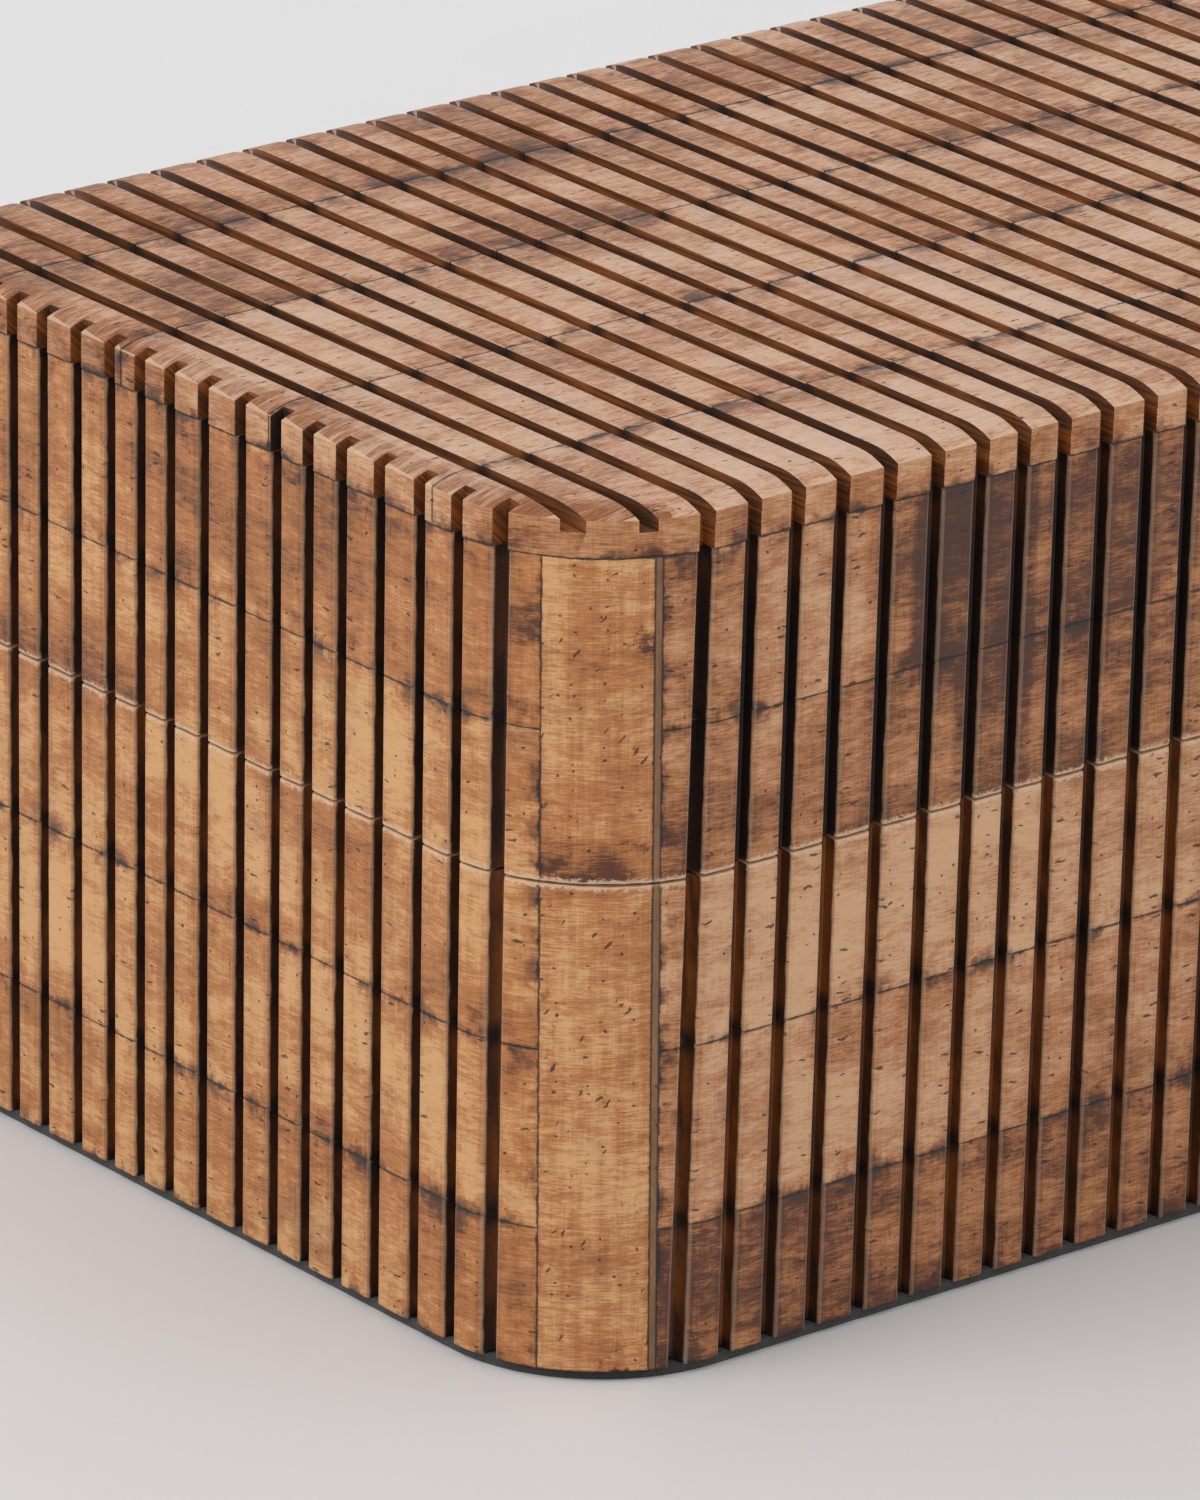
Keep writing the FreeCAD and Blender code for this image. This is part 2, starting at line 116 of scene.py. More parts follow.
# Tone (0 pale, 1 deep) and smoke (0 none, 1 grey-brown) of the tiles along each course, by its share
# of the course, starting from the near left corner
TILE_TONES = {
    "lid_front_course_2": ((0.11, 0.42, 0.08), (0.05, 0.62, 0.28), (0.07, 0.90, 0.62), (0.23, 0.70, 0.36),
                           (0.54, 0.6, 0.4)),
    "lid_front_course_1": ((0.12, 0.50, 0.14), (0.05, 0.66, 0.34), (0.06, 0.86, 0.50), (0.10, 0.66, 0.30),
                           (0.67, 0.5, 0.3)),
    "base_front_course_3": ((0.24, 0.17, 0.02), (0.22, 0.20, 0.04), (0.29, 0.3, 0.1), (0.25, 0.2, 0.1)),
    "base_front_course_2": ((0.14, 0.32, 0.08), (0.32, 0.42, 0.14), (0.25, 0.4, 0.1), (0.29, 0.3, 0.2)),
    "base_front_course_1": ((0.13, 0.76, 0.24), (0.27, 0.70, 0.20), (0.24, 0.35, 0.2), (0.36, 0.5, 0.3)),
    "lid_left_course_2": ((0.50, 0.42, 0.10), (0.50, 0.46, 0.12)),
    "lid_left_course_1": ((0.35, 0.20, 0.02), (0.65, 0.34, 0.05)),
    "base_left_course_3": ((0.45, 0.30, 0.02), (0.55, 0.22, 0.00)),
    "base_left_course_2": ((0.40, 0.24, 0.03), (0.60, 0.21, 0.01)),
    "base_left_course_1": ((0.30, 0.36, 0.07), (0.70, 0.27, 0.02)),
    "lid_top_strip_1": ((0.09, 0.30, 0.06), (0.17, 0.18, 0.04), (0.24, 0.26, 0.1), (0.5, 0.25, 0.1)),
    "lid_top_strip_2": ((0.12, 0.22, 0.06), (0.16, 0.30, 0.12), (0.26, 0.20, 0.08), (0.46, 0.3, 0.15)),
    "lid_top_strip_3": ((0.22, 0.26, 0.10), (0.30, 0.32, 0.14), (0.48, 0.3, 0.15)),
    "lid_top_strip_4": ((0.30, 0.40, 0.22), (0.24, 0.34, 0.16), (0.46, 0.3, 0.2)),
    "lid_top_strip_5": ((0.25, 0.48, 0.26), (0.25, 0.42, 0.24), (0.5, 0.3, 0.2)),
}
CORNER_TONES = {"base": (0.34, 0.04), "lid": (0.38, 0.05)}
STRIP_TONES = (0.5, 0.2)


def tint(red, green, blue):
    """Colour as seen on screen, 0 to 255, turned into the linear colour that a shader takes."""
    def linear(value):
        value /= 255
        return value / 12.92 if value <= 0.04045 else ((value + 0.055) / 1.055) ** 2.4
    return (linear(red), linear(green), linear(blue), 1.0)


# Settings that a user would change


class CladdingSettings(bpy.types.PropertyGroup):
    cut_depth: bpy.props.FloatProperty(
        name="Cut depth", description="Depth of the saw cuts", default=2.0 * MM, unit="LENGTH")
    arris: bpy.props.FloatProperty(
        name="Arris", description="Wear on the edges of the slats", default=0.13 * MM, unit="LENGTH")
    waver: bpy.props.FloatProperty(
        name="Waver", description="How far the edges of a cut wander", default=0.05 * MM, unit="LENGTH")
    seam_wear: bpy.props.FloatProperty(
        name="Seam wear", description="Depth of the chips at the seam", default=0.10 * MM, unit="LENGTH")
    joint_wear: bpy.props.FloatProperty(
        name="Joint wear", description="Depth of the tiles' joints", default=0.08 * MM, unit="LENGTH")
    soften: bpy.props.FloatProperty(
        name="Soften", description="Width of the worn edges on top", default=0.14 * MM, unit="LENGTH")


class FinishSettings(bpy.types.PropertyGroup):
    pale: bpy.props.FloatVectorProperty(
        name="Pale bone", description="Lightest tile", subtype="COLOR", size=4, default=tint(220, 168, 112))
    middle: bpy.props.FloatVectorProperty(
        name="Browned bone", description="Tile of middle tone", subtype="COLOR", size=4,
        default=tint(184, 117, 62))
    deep: bpy.props.FloatVectorProperty(
        name="Scorched bone", description="Darkest tile", subtype="COLOR", size=4, default=tint(92, 46, 22))
    # Greyish cream that the bone is paled towards: a painted sheen on the top, bleached tile on the front.
    ash: bpy.props.FloatVectorProperty(
        name="Ashen bone", description="Bleached tile", subtype="COLOR", size=4,
        default=tint(210, 178, 156))
    smoke: bpy.props.FloatVectorProperty(
        name="Smoke", description="Grey-brown scorch", subtype="COLOR", size=4, default=tint(52, 34, 27))
    # Also the colour of the pale line along the arrises, which is partly wear and partly a painted
    # highlight.
    chipped: bpy.props.FloatVectorProperty(
        name="Chipped bone", description="Fresh bone along the seam", subtype="COLOR", size=4,
        default=tint(222, 190, 158))
    cut_warm: bpy.props.FloatVectorProperty(
        name="Cut, warm", description="Amber stain in the cuts", subtype="COLOR", size=4,
        default=tint(152, 86, 34))
    # Dark colour of the pits, joint lines and burns; it also paints the shade in the cuts, on their walls
    # and in the lid's cuts.
    cut_dark_and_shade: bpy.props.FloatVectorProperty(
        name="Cut, dark", description="Burnt bottom of the cuts", subtype="COLOR", size=4,
        default=tint(24, 15, 12))
    felt: bpy.props.FloatVectorProperty(
        name="Lining", description="Felt lining", subtype="COLOR", size=4, default=tint(92, 58, 42))


class StageSettings(bpy.types.PropertyGroup):
    floor: bpy.props.FloatVectorProperty(
        name="Floor", description="Colour of the floor", subtype="COLOR", size=4,
        default=tint(226, 225, 227))
    # Lighter colour that the floor turns to far behind the box and up the backdrop: painted light.
    backdrop: bpy.props.FloatVectorProperty(
        name="Backdrop", description="Colour of the floor far behind the box", subtype="COLOR", size=4,
        default=tint(244, 244, 246))
    key_power: bpy.props.FloatProperty(
        name="Key light", description="Power of the large soft lamp", default=11.0, unit="POWER")
    fill_power: bpy.props.FloatProperty(
        name="Fill light", description="Power of the lamp on the front", default=1.8, unit="POWER")
    sky: bpy.props.FloatProperty(
        name="Sky", description="Strength of the light from all round", default=0.75)
    lens: bpy.props.FloatProperty(
        name="Lens", description="Focal length of the camera", default=291.06, subtype="DISTANCE_CAMERA")


# Small helpers for node trees


def add(tree, kind, inputs=None, **settings):
    """New node, with its settings and its sockets filled by values or by other nodes' outputs."""
    node = tree.nodes.new(kind)
    for key, value in settings.items():
        setattr(node, key, value)
    for key, value in (inputs or {}).items():
        if isinstance(value, bpy.types.NodeSocket):
            tree.links.new(value, node.inputs[key])
        elif value is not None:
            node.inputs[key].default_value = value
    return node


def calc(tree, operation, first, second=None):
    """Output of a Math node."""
    return add(tree, "ShaderNodeMath", {0: first, 1: second}, operation=operation).outputs[0]


def plus(tree, first, second):
    return calc(tree, "ADD", first, second)


def minus(tree, first, second):
    return calc(tree, "SUBTRACT", first, second)


def times(tree, first, second):
    return calc(tree, "MULTIPLY", first, second)


def divided(tree, first, second):
    return calc(tree, "DIVIDE", first, second)


def larger(tree, first, second):
    return calc(tree, "MAXIMUM", first, second)


def smaller(tree, first, second):
    return calc(tree, "MINIMUM", first, second)


def swayed(tree, level, pattern, amount):
    """Level raised where a pattern from 0 to 1 is above its middle, and lowered where it is below."""
    return plus(tree, level, times(tree, minus(tree, pattern, 0.5), amount))


def fade(tree, value, start, end, low=0.0, high=1.0, shape="SMOOTHSTEP"):
    """Value carried from one range to another, held at both ends."""
    inputs = {"Value": value, "From Min": start, "From Max": end, "To Min": low, "To Max": high}
    return add(tree, "ShaderNodeMapRange", inputs, interpolation_type=shape).outputs["Result"]


def blend(tree, factor, first, second, kind="MIX"):
    """Two colours mixed."""
    node = add(tree, "ShaderNodeMix", data_type="RGBA", blend_type=kind)
    for index, value in ((0, factor), (6, first), (7, second)):
        if isinstance(value, bpy.types.NodeSocket):
            tree.links.new(value, node.inputs[index])
        else:
            node.inputs[index].default_value = value
    return node.outputs[2]


def vector_math(tree, operation, first, second=None, scale=None):
    """Output of a Vector Math node."""
    inputs = {0: first, 1: second, "Scale": scale}
    return add(tree, "ShaderNodeVectorMath", inputs, operation=operation).outputs[0]


def stretched(tree, vector, across, up, turn=0.0):
    """Vector scaled along each way of the tile, after a turn in its plane."""
    turned = add(tree, "ShaderNodeVectorRotate", {"Vector": vector, "Angle": turn}, rotation_type="Z_AXIS")
    scale = add(tree, "ShaderNodeCombineXYZ", {"X": across, "Y": up, "Z": 1.0})
    return vector_math(tree, "MULTIPLY", turned.outputs[0], scale.outputs[0])


SEED_STEP = (31.7, 17.3, 11.9)


def moved_by(tree, vector, seed):
    """Vector pushed sideways, so that each seed reads another part of a pattern."""
    return vector_math(tree, "ADD", vector, vector_math(tree, "SCALE", SEED_STEP, scale=seed))


def cloud(tree, vector, scale, detail=3.0, rough=0.5, seed=0.0, warp=0.0, kind="2D"):
    """Noise from 0 to 1."""
    inputs = {"Vector": moved_by(tree, vector, seed), "Scale": scale, "Detail": detail, "Roughness": rough,
              "Distortion": warp}
    return add(tree, "ShaderNodeTexNoise", inputs, noise_dimensions=kind).outputs[0]


def new_group(name, kind, inputs, outputs):
    """Node group with named sockets, and its input and output nodes."""
    group = bpy.data.node_groups.new(name, kind)
    for label, socket, default in inputs:
        item = group.interface.new_socket(name=label, in_out="INPUT", socket_type=socket)
        if default is not None:
            item.default_value = default
    for label, socket in outputs:
        group.interface.new_socket(name=label, in_out="OUTPUT", socket_type=socket)
    return group, group.nodes.new("NodeGroupInput").outputs, group.nodes.new("NodeGroupOutput").inputs


FLOAT = "NodeSocketFloat"
VECTOR = "NodeSocketVector"


def mottle_group():
    """Soft browning, streaks along the tile, scorched patches and a fine mottle."""
    group, given, result = new_group(
        "mottle", "ShaderNodeTree",
        [("Vector", VECTOR, None), ("Patch", FLOAT, 14.0), ("Stretch", FLOAT, 1.6), ("Seed", FLOAT, 0.0)],
        [("Cloud", FLOAT), ("Streaks", FLOAT), ("Scorch", FLOAT), ("Cells", FLOAT)])
    across = divided(group, 1.0, given["Stretch"])
    flat = stretched(group, given["Vector"], across, 1.0)
    scale = divided(group, 1.0, given["Patch"])
    broad = cloud(group, flat, scale, detail=5.0, rough=0.58, seed=given["Seed"], warp=0.25)
    streaks = cloud(group, stretched(group, given["Vector"], 0.16, 0.75, 0.04), 1.0, detail=4.0, rough=0.6,
                    seed=plus(group, given["Seed"], 2.9), warp=0.5)
    other = cloud(group, flat, times(group, scale, 1.4), detail=6.0, rough=0.68,
                  seed=plus(group, given["Seed"], 7.3), warp=0.4)
    cells = cloud(group, stretched(group, given["Vector"], 0.8, 1.7), 1.0, detail=4.0, rough=0.75,
                  seed=given["Seed"], warp=0.8)
    group.links.new(fade(group, broad, 0.25, 0.75), result["Cloud"])
    group.links.new(fade(group, streaks, 0.30, 0.70), result["Streaks"])
    group.links.new(fade(group, other, 0.56, 0.78), result["Scorch"])
    group.links.new(fade(group, cells, 0.30, 0.70), result["Cells"])
    return group


def fibre_group():
    """Fine lines along the tile, and faint sanding marks across it."""
    group, given, result = new_group(
        "fibre", "ShaderNodeTree",
        [("Vector", VECTOR, None), ("Length", FLOAT, 3.0), ("Width", FLOAT, 0.16), ("Seed", FLOAT, 0.0)],
        [("Lines", FLOAT), ("Marks", FLOAT), ("Bands", FLOAT)])
    along = divided(group, 1.0, given["Length"])
    tight = divided(group, 1.0, given["Width"])
    lines = cloud(group, stretched(group, given["Vector"], along, tight, 0.03), 1.0, detail=3.0, rough=0.65,
                  seed=given["Seed"], warp=0.25)
    marks = cloud(group, stretched(group, given["Vector"], 3.5, 0.22, -0.02), 1.0, detail=2.0, rough=0.6,
                  seed=plus(group, given["Seed"], 3.1))
    bands = cloud(group, stretched(group, given["Vector"], 0.55, 0.03), 1.0, detail=3.0, rough=0.6,
                  seed=plus(group, given["Seed"], 5.7))
    group.links.new(fade(group, lines, 0.32, 0.68), result["Lines"])
    group.links.new(fade(group, marks, 0.30, 0.70), result["Marks"])
    group.links.new(fade(group, bands, 0.30, 0.70), result["Bands"])
    return group


def pore_group():
    """Dark pits or dashes, one to a cell, of different sizes."""
    group, given, result = new_group(
        "pores", "ShaderNodeTree",
        [("Vector", VECTOR, None), ("Spacing", FLOAT, 2.0), ("Size", FLOAT, 0.1), ("Stretch", FLOAT, 1.0),
         ("Turn", FLOAT, 0.0), ("Share", FLOAT, 0.5), ("Seed", FLOAT, 0.0)],
        [("Mask", FLOAT)])
    across = divided(group, 1.0, given["Stretch"])
    wobble = add(group, "ShaderNodeTexNoise", {"Vector": given["Vector"], "Scale": 0.9, "Detail": 2.0},
                 noise_dimensions="2D")
    bent = add(group, "ShaderNodeVectorMath",
               {0: wobble.outputs["Color"], 1: (0.7, 0.7, 0.0), 2: given["Vector"]},
               operation="MULTIPLY_ADD").outputs[0]
    flat = stretched(group, moved_by(group, bent, given["Seed"]), across, 1.0, given["Turn"])
    scale = divided(group, 1.0, given["Spacing"])
    spots = add(group, "ShaderNodeTexVoronoi", {"Vector": flat, "Scale": scale}, voronoi_dimensions="2D")
    picks = add(group, "ShaderNodeSeparateColor", {"Color": spots.outputs["Color"]})
    reach = times(group, given["Size"], fade(group, picks.outputs[1], 0.0, 1.0, 0.3, 1.0))
    reach = times(group, reach, scale)
    inner = fade(group, spots.outputs["Distance"], times(group, reach, 0.55), reach, 1.0, 0.0)
    chosen = calc(group, "LESS_THAN", picks.outputs[0], given["Share"])
    group.links.new(times(group, inner, chosen), result["Mask"])
    return group


def joint_group():
    """Dark hairline along a joint, broken here and there, with a soft scorched border."""
    group, given, result = new_group(
        "joint", "ShaderNodeTree",
        [("Vector", VECTOR, None), ("Distance", FLOAT, 1.0), ("Width", FLOAT, 0.14), ("Burn", FLOAT, 0.5),
         ("Seed", FLOAT, 0.0)],
        [("Line", FLOAT), ("Halo", FLOAT), ("Glow", FLOAT)])
    waver = cloud(group, given["Vector"], 0.8, detail=3.0, rough=0.6, seed=given["Seed"])
    patch = cloud(group, given["Vector"], 0.16, detail=4.0, rough=0.65, seed=given["Seed"])
    burnt = fade(group, patch, minus(group, 0.76, times(group, given["Burn"], 0.4)), 0.72)
    width = times(group, given["Width"], fade(group, waver, 0.30, 0.70, 0.55, 1.7))
    width = times(group, width, fade(group, burnt, 0.2, 1.0, 1.0, 2.6))
    line = fade(group, given["Distance"], times(group, width, 0.35), width, 1.0, 0.0)
    reach = fade(group, burnt, 0.0, 1.0, 0.45, 2.4)
    halo = fade(group, given["Distance"], 0.0, reach, 1.0, 0.0)
    glow = fade(group, given["Distance"], 0.0, 6.0, 1.0, 0.0)
    group.links.new(times(group, glow, burnt), result["Glow"])
    group.links.new(line, result["Line"])
    group.links.new(times(group, halo, fade(group, burnt, 0.0, 1.0, 0.22, 1.0)), result["Halo"])
    return group


def nap_group():
    """Matted wool: fuzzy tone and relief."""
    group, given, result = new_group(
        "nap", "ShaderNodeTree", [("Vector", VECTOR, None), ("Fibre", FLOAT, 0.5)],
        [("Tone", FLOAT), ("Height", FLOAT)])
    scale = divided(group, 1.0, given["Fibre"])
    fuzz = cloud(group, given["Vector"], scale, detail=6.0, rough=0.8, warp=2.5, kind="3D")
    drift = cloud(group, given["Vector"], 0.05, detail=3.0, kind="3D")
    both = plus(group, times(group, fuzz, 0.6), times(group, drift, 0.4))
    group.links.new(fade(group, both, 0.3, 0.7), result["Tone"])
    group.links.new(fuzz, result["Height"])
    return group


def groups():
    """The effects shared by the materials, each built once."""
    makers = {"mottle": mottle_group, "fibre": fibre_group, "pores": pore_group, "joint": joint_group,
              "nap": nap_group}
    return {name: bpy.data.node_groups.get(name) or make() for name, make in makers.items()}


def use(tree, name, inputs):
    """A shared effect placed in a material; returns its outputs."""
    return add(tree, "ShaderNodeGroup", inputs, node_tree=groups()[name]).outputs


def new_material(name, shader=None):
    """Material with its Principled BSDF, whose own sockets take the constant values."""
    material = bpy.data.materials.new(name)
    material.use_nodes = True
    tree = material.node_tree
    surface = tree.nodes["Principled BSDF"]
    for label, value in (shader or {}).items():
        surface.inputs[label].default_value = value
    return material, tree, surface


def finish_surface(tree, surface, colour, roughness, height, depth):
    """Join colour, roughness and relief to the surface. Depth is the height of the relief."""
    tree.links.new(colour, surface.inputs["Base Color"])
    tree.links.new(roughness, surface.inputs["Roughness"])
    bump = add(tree, "ShaderNodeBump", {"Height": height, "Distance": depth, "Strength": 1.0})
    tree.links.new(bump.outputs[0], surface.inputs["Normal"])


def attribute(tree, name):
    return add(tree, "ShaderNodeAttribute", attribute_name=name).outputs["Fac"]


def grain_vector(tree):
    """The piece's own map in millimetres: X along the tile, Y across it."""
    source = add(tree, "ShaderNodeUVMap", uv_map="grain")
    return vector_math(tree, "SCALE", source.outputs[0], scale=1 / MM)


def solid_vector(tree):
    """Object coordinates in millimetres."""
    source = add(tree, "ShaderNodeTexCoord")
    return vector_math(tree, "SCALE", source.outputs["Object"], scale=1 / MM)


# How each kind of tile looks. seed places it in the patterns. patch is the size of the browned patches in
# millimetres, swing and scorch their strength, lines and bands the strength of the grain, dots and dashes
# the share of cells with one, slant the lean of the dashes in radians. burn and rim_burn scorch the joints
# and the seam. The bleaching pales the bone towards a greyish cream: on the top it is a painted sheen, on
# the front bleached tile. The cuts are amber by cut_warmth, at least by cut_least, and by lid_cut on the
# lid, where the rest of their colour is painted shade.
BoneLook = namedtuple("BoneLook", (
    "seed", "patch", "swing", "scorch", "lines", "bands", "dots", "dashes", "slant", "burn", "rim_burn",
    "ash", "cut_warmth", "cut_least", "lid_cut"))
BONE_LOOKS = {
    "front": BoneLook(
        seed=11.0, patch=13.0, swing=0.46, scorch=0.6, lines=1.0, bands=0.2, dots=0.18, dashes=0.30,
        slant=0.02, burn=0.90, rim_burn=0.1, ash=0.36, cut_warmth=0.95, cut_least=0.40, lid_cut=0.08),
    "end": BoneLook(
        seed=23.0, patch=15.0, swing=0.56, scorch=0.8, lines=0.9, bands=0.5, dots=0.18, dashes=0.16,
        slant=0.05, burn=0.90, rim_burn=0.6, ash=0.02, cut_warmth=0.75, cut_least=0.35, lid_cut=0.50),
    "top": BoneLook(
        seed=37.0, patch=18.0, swing=0.40, scorch=0.5, lines=1.1, bands=0.2, dots=0.12, dashes=0.20,
        slant=0.00, burn=1.00, rim_burn=0.0, ash=0.92, cut_warmth=1.00, cut_least=0.36, lid_cut=1.00),
    "corner": BoneLook(
        seed=41.0, patch=14.0, swing=0.40, scorch=0.6, lines=1.1, bands=0.9, dots=0.36, dashes=0.20,
        slant=0.95, burn=0.40, rim_burn=1.5, ash=0.04, cut_warmth=0.90, cut_least=0.40, lid_cut=0.90),
}

# Millimetres over which a burn fades
SEAM_BURN = 7.0
CORNER_BURN = (10.0, 24.0)

# Heights in millimetres between which the painted shade in the cuts of the lid gives way to amber again
# towards the top
TOP_AMBER = (84.0, 99.0)


def joint_distance(tree, name):
    """Distance to the nearest joint, in millimetres."""
    if name != "top":
        return times(tree, attribute(tree, "joint"), 1 / MM)
    parts = add(tree, "ShaderNodeSeparateXYZ", {"Vector": solid_vector(tree)})
    off_wall = times(tree, minus(tree, 1.0, attribute(tree, "wall")), 100.0)
    distance = plus(tree, minus(tree, parts.outputs["Z"], TOP_JOINT / MM), off_wall)
    for joint in TOP_STRIP_JOINTS:
        gap = calc(tree, "ABSOLUTE", minus(tree, parts.outputs["Y"], joint / MM))
        distance = smaller(tree, distance, gap)
    return distance


def bone_level(tree, look, mottle, fibre, joint, height):
    """Depth of the browning, 0 pale to 1 deep: the tile's own tone with its grain, mottle and burns."""
    rim = times(tree, attribute(tree, "rim"), 1 / MM)
    seam_burn = times(tree, fade(tree, rim, 0.0, SEAM_BURN, look.rim_burn, 0.0),
                      fade(tree, mottle["Cloud"], 0.1, 0.9, 0.2, 1.0))
    seam_burn = times(tree, seam_burn, fade(tree, height, SEAM / MM - 0.2, SEAM / MM + 0.2, 0.25, 0.55))
    level = plus(tree, attribute(tree, "tone"), seam_burn)
    level = plus(tree, level, times(tree, joint["Glow"], 0.42))
    level = minus(tree, level, times(tree, attribute(tree, "wall"), 0.06))
    beside_cut = fade(tree, attribute(tree, "gap"), 0.9 * MM, 2.0 * MM, 0.16, 0.0)
    level = plus(tree, level, times(tree, beside_cut, attribute(tree, "skin")))
    patterns = ((mottle["Cloud"], look.swing), (mottle["Streaks"], 0.22), (mottle["Cells"], 0.16),
                (fibre["Lines"], 0.27 * look.lines), (fibre["Bands"], 0.22 * look.bands),
                (fibre["Marks"], 0.09))
    for pattern, amount in patterns:
        level = swayed(tree, level, pattern, amount)
    return level


def cut_stain(tree, look, vector, height, distance):
    """Colour inside the saw cuts: an amber stain with darker streaks, darkest at the joints, which are
    burnt. Painted shade darkens the walls of each cut, and the lid's cuts all but near the top.
    """
    finish = bpy.context.scene.box_finish
    streak = cloud(tree, stretched(tree, vector, 2.2, 0.10), 1.0, detail=4.0, seed=look.seed)
    mood = cloud(tree, stretched(tree, vector, 0.16, 0.03), 1.0, detail=3.0, seed=look.seed + 3.0)
    warm = fade(tree, streak, 0.38, 0.62, look.cut_least * look.cut_warmth, look.cut_warmth)
    warm = times(tree, warm, fade(tree, mood, 0.32, 0.62, look.cut_least, 1.0))
    # Painted shade: the lid's cuts nearly black, lifting towards the top.
    if look.lid_cut < 1.0:
        lid_painted_shade = fade(tree, height, SEAM / MM - 0.4, SEAM / MM + 0.4, 1.0, look.lid_cut)
        near_top = fade(tree, height, *TOP_AMBER, 0.0, 0.55)
        warm = times(tree, warm, larger(tree, lid_painted_shade, near_top))
    # Painted shade: the walls of a cut darker than its floor.
    warm = times(tree, warm, fade(tree, attribute(tree, "cut"), 0.20, 0.85, 0.45, 1.0))
    warm = times(tree, warm, fade(tree, distance, 0.3, 2.2, 0.15, 1.0))
    return blend(tree, warm, finish.cut_dark_and_shade, finish.cut_warm)


def pale_seam(tree, vector):
    """Ragged line of fresh bone where the saw parted the lid from the base."""
    ragged = cloud(tree, vector, 1.5, detail=4.0, rough=0.75, warp=0.6)
    width = fade(tree, ragged, 0.34, 0.66, 0.12, 0.85)
    rim = times(tree, attribute(tree, "rim"), 1 / MM)
    return fade(tree, rim, times(tree, width, 0.55), width, 1.0, 0.0)


def browned(tree, look, level, mottle):
    """Colour of the bone at a depth of browning, with its bleaching and painted sheen, smoke and scorched
    patches.
    """
    finish = bpy.context.scene.box_finish
    light = blend(tree, fade(tree, level, 0.0, 0.5), finish.pale, finish.middle)
    # Paled towards cream: a painted sheen on the top, bleached tile on the front; less on deep tiles and on
    # the upright sides of the top strips.
    bleach_and_sheen_share = fade(tree, level, 0.05, 0.75, look.ash, look.ash * 0.12)
    bleach_and_sheen_share = times(tree, bleach_and_sheen_share, fade(tree, attribute(tree, "wall"), 0.0, 1.0, 1.0, 0.3))
    light = blend(tree, bleach_and_sheen_share, light, finish.ash)
    colour = blend(tree, fade(tree, level, 0.42, 1.10), light, finish.deep)
    smoke = swayed(tree, attribute(tree, "smoke"), mottle["Cloud"], 0.4)
    smoke = swayed(tree, smoke, mottle["Streaks"], 0.25)
    colour = blend(tree, fade(tree, smoke, 0.10, 1.10, 0.0, 0.62), colour, finish.smoke)
    scorch = times(tree, mottle["Scorch"], look.scorch)
    return blend(tree, times(tree, scorch, 0.5), colour, finish.deep)


def burnt_edge(tree, colour, mottle, fibre):
    """Colour with the domed edge of the top burnt along its ends, most of all at the near corner."""
    finish = bpy.context.scene.box_finish
    burnt = times(tree, fade(tree, attribute(tree, "edge"), 0.02, 0.45),
                  fade(tree, mottle["Streaks"], 0.0, 0.9, 0.35, 1.0))
    off_corner = add(tree, "ShaderNodeVectorMath", {0: solid_vector(tree), 1: tuple(NEAR_CORNER / MM)},
                     operation="DISTANCE").outputs["Value"]
    burnt = times(tree, burnt, fade(tree, off_corner, *CORNER_BURN, 1.0, 0.6))
    colour = blend(tree, times(tree, burnt, 0.9), colour, finish.cut_warm)
    striped = times(tree, burnt, fade(tree, fibre["Lines"], 0.45, 0.8))
    return blend(tree, times(tree, striped, 0.7), colour, finish.deep)


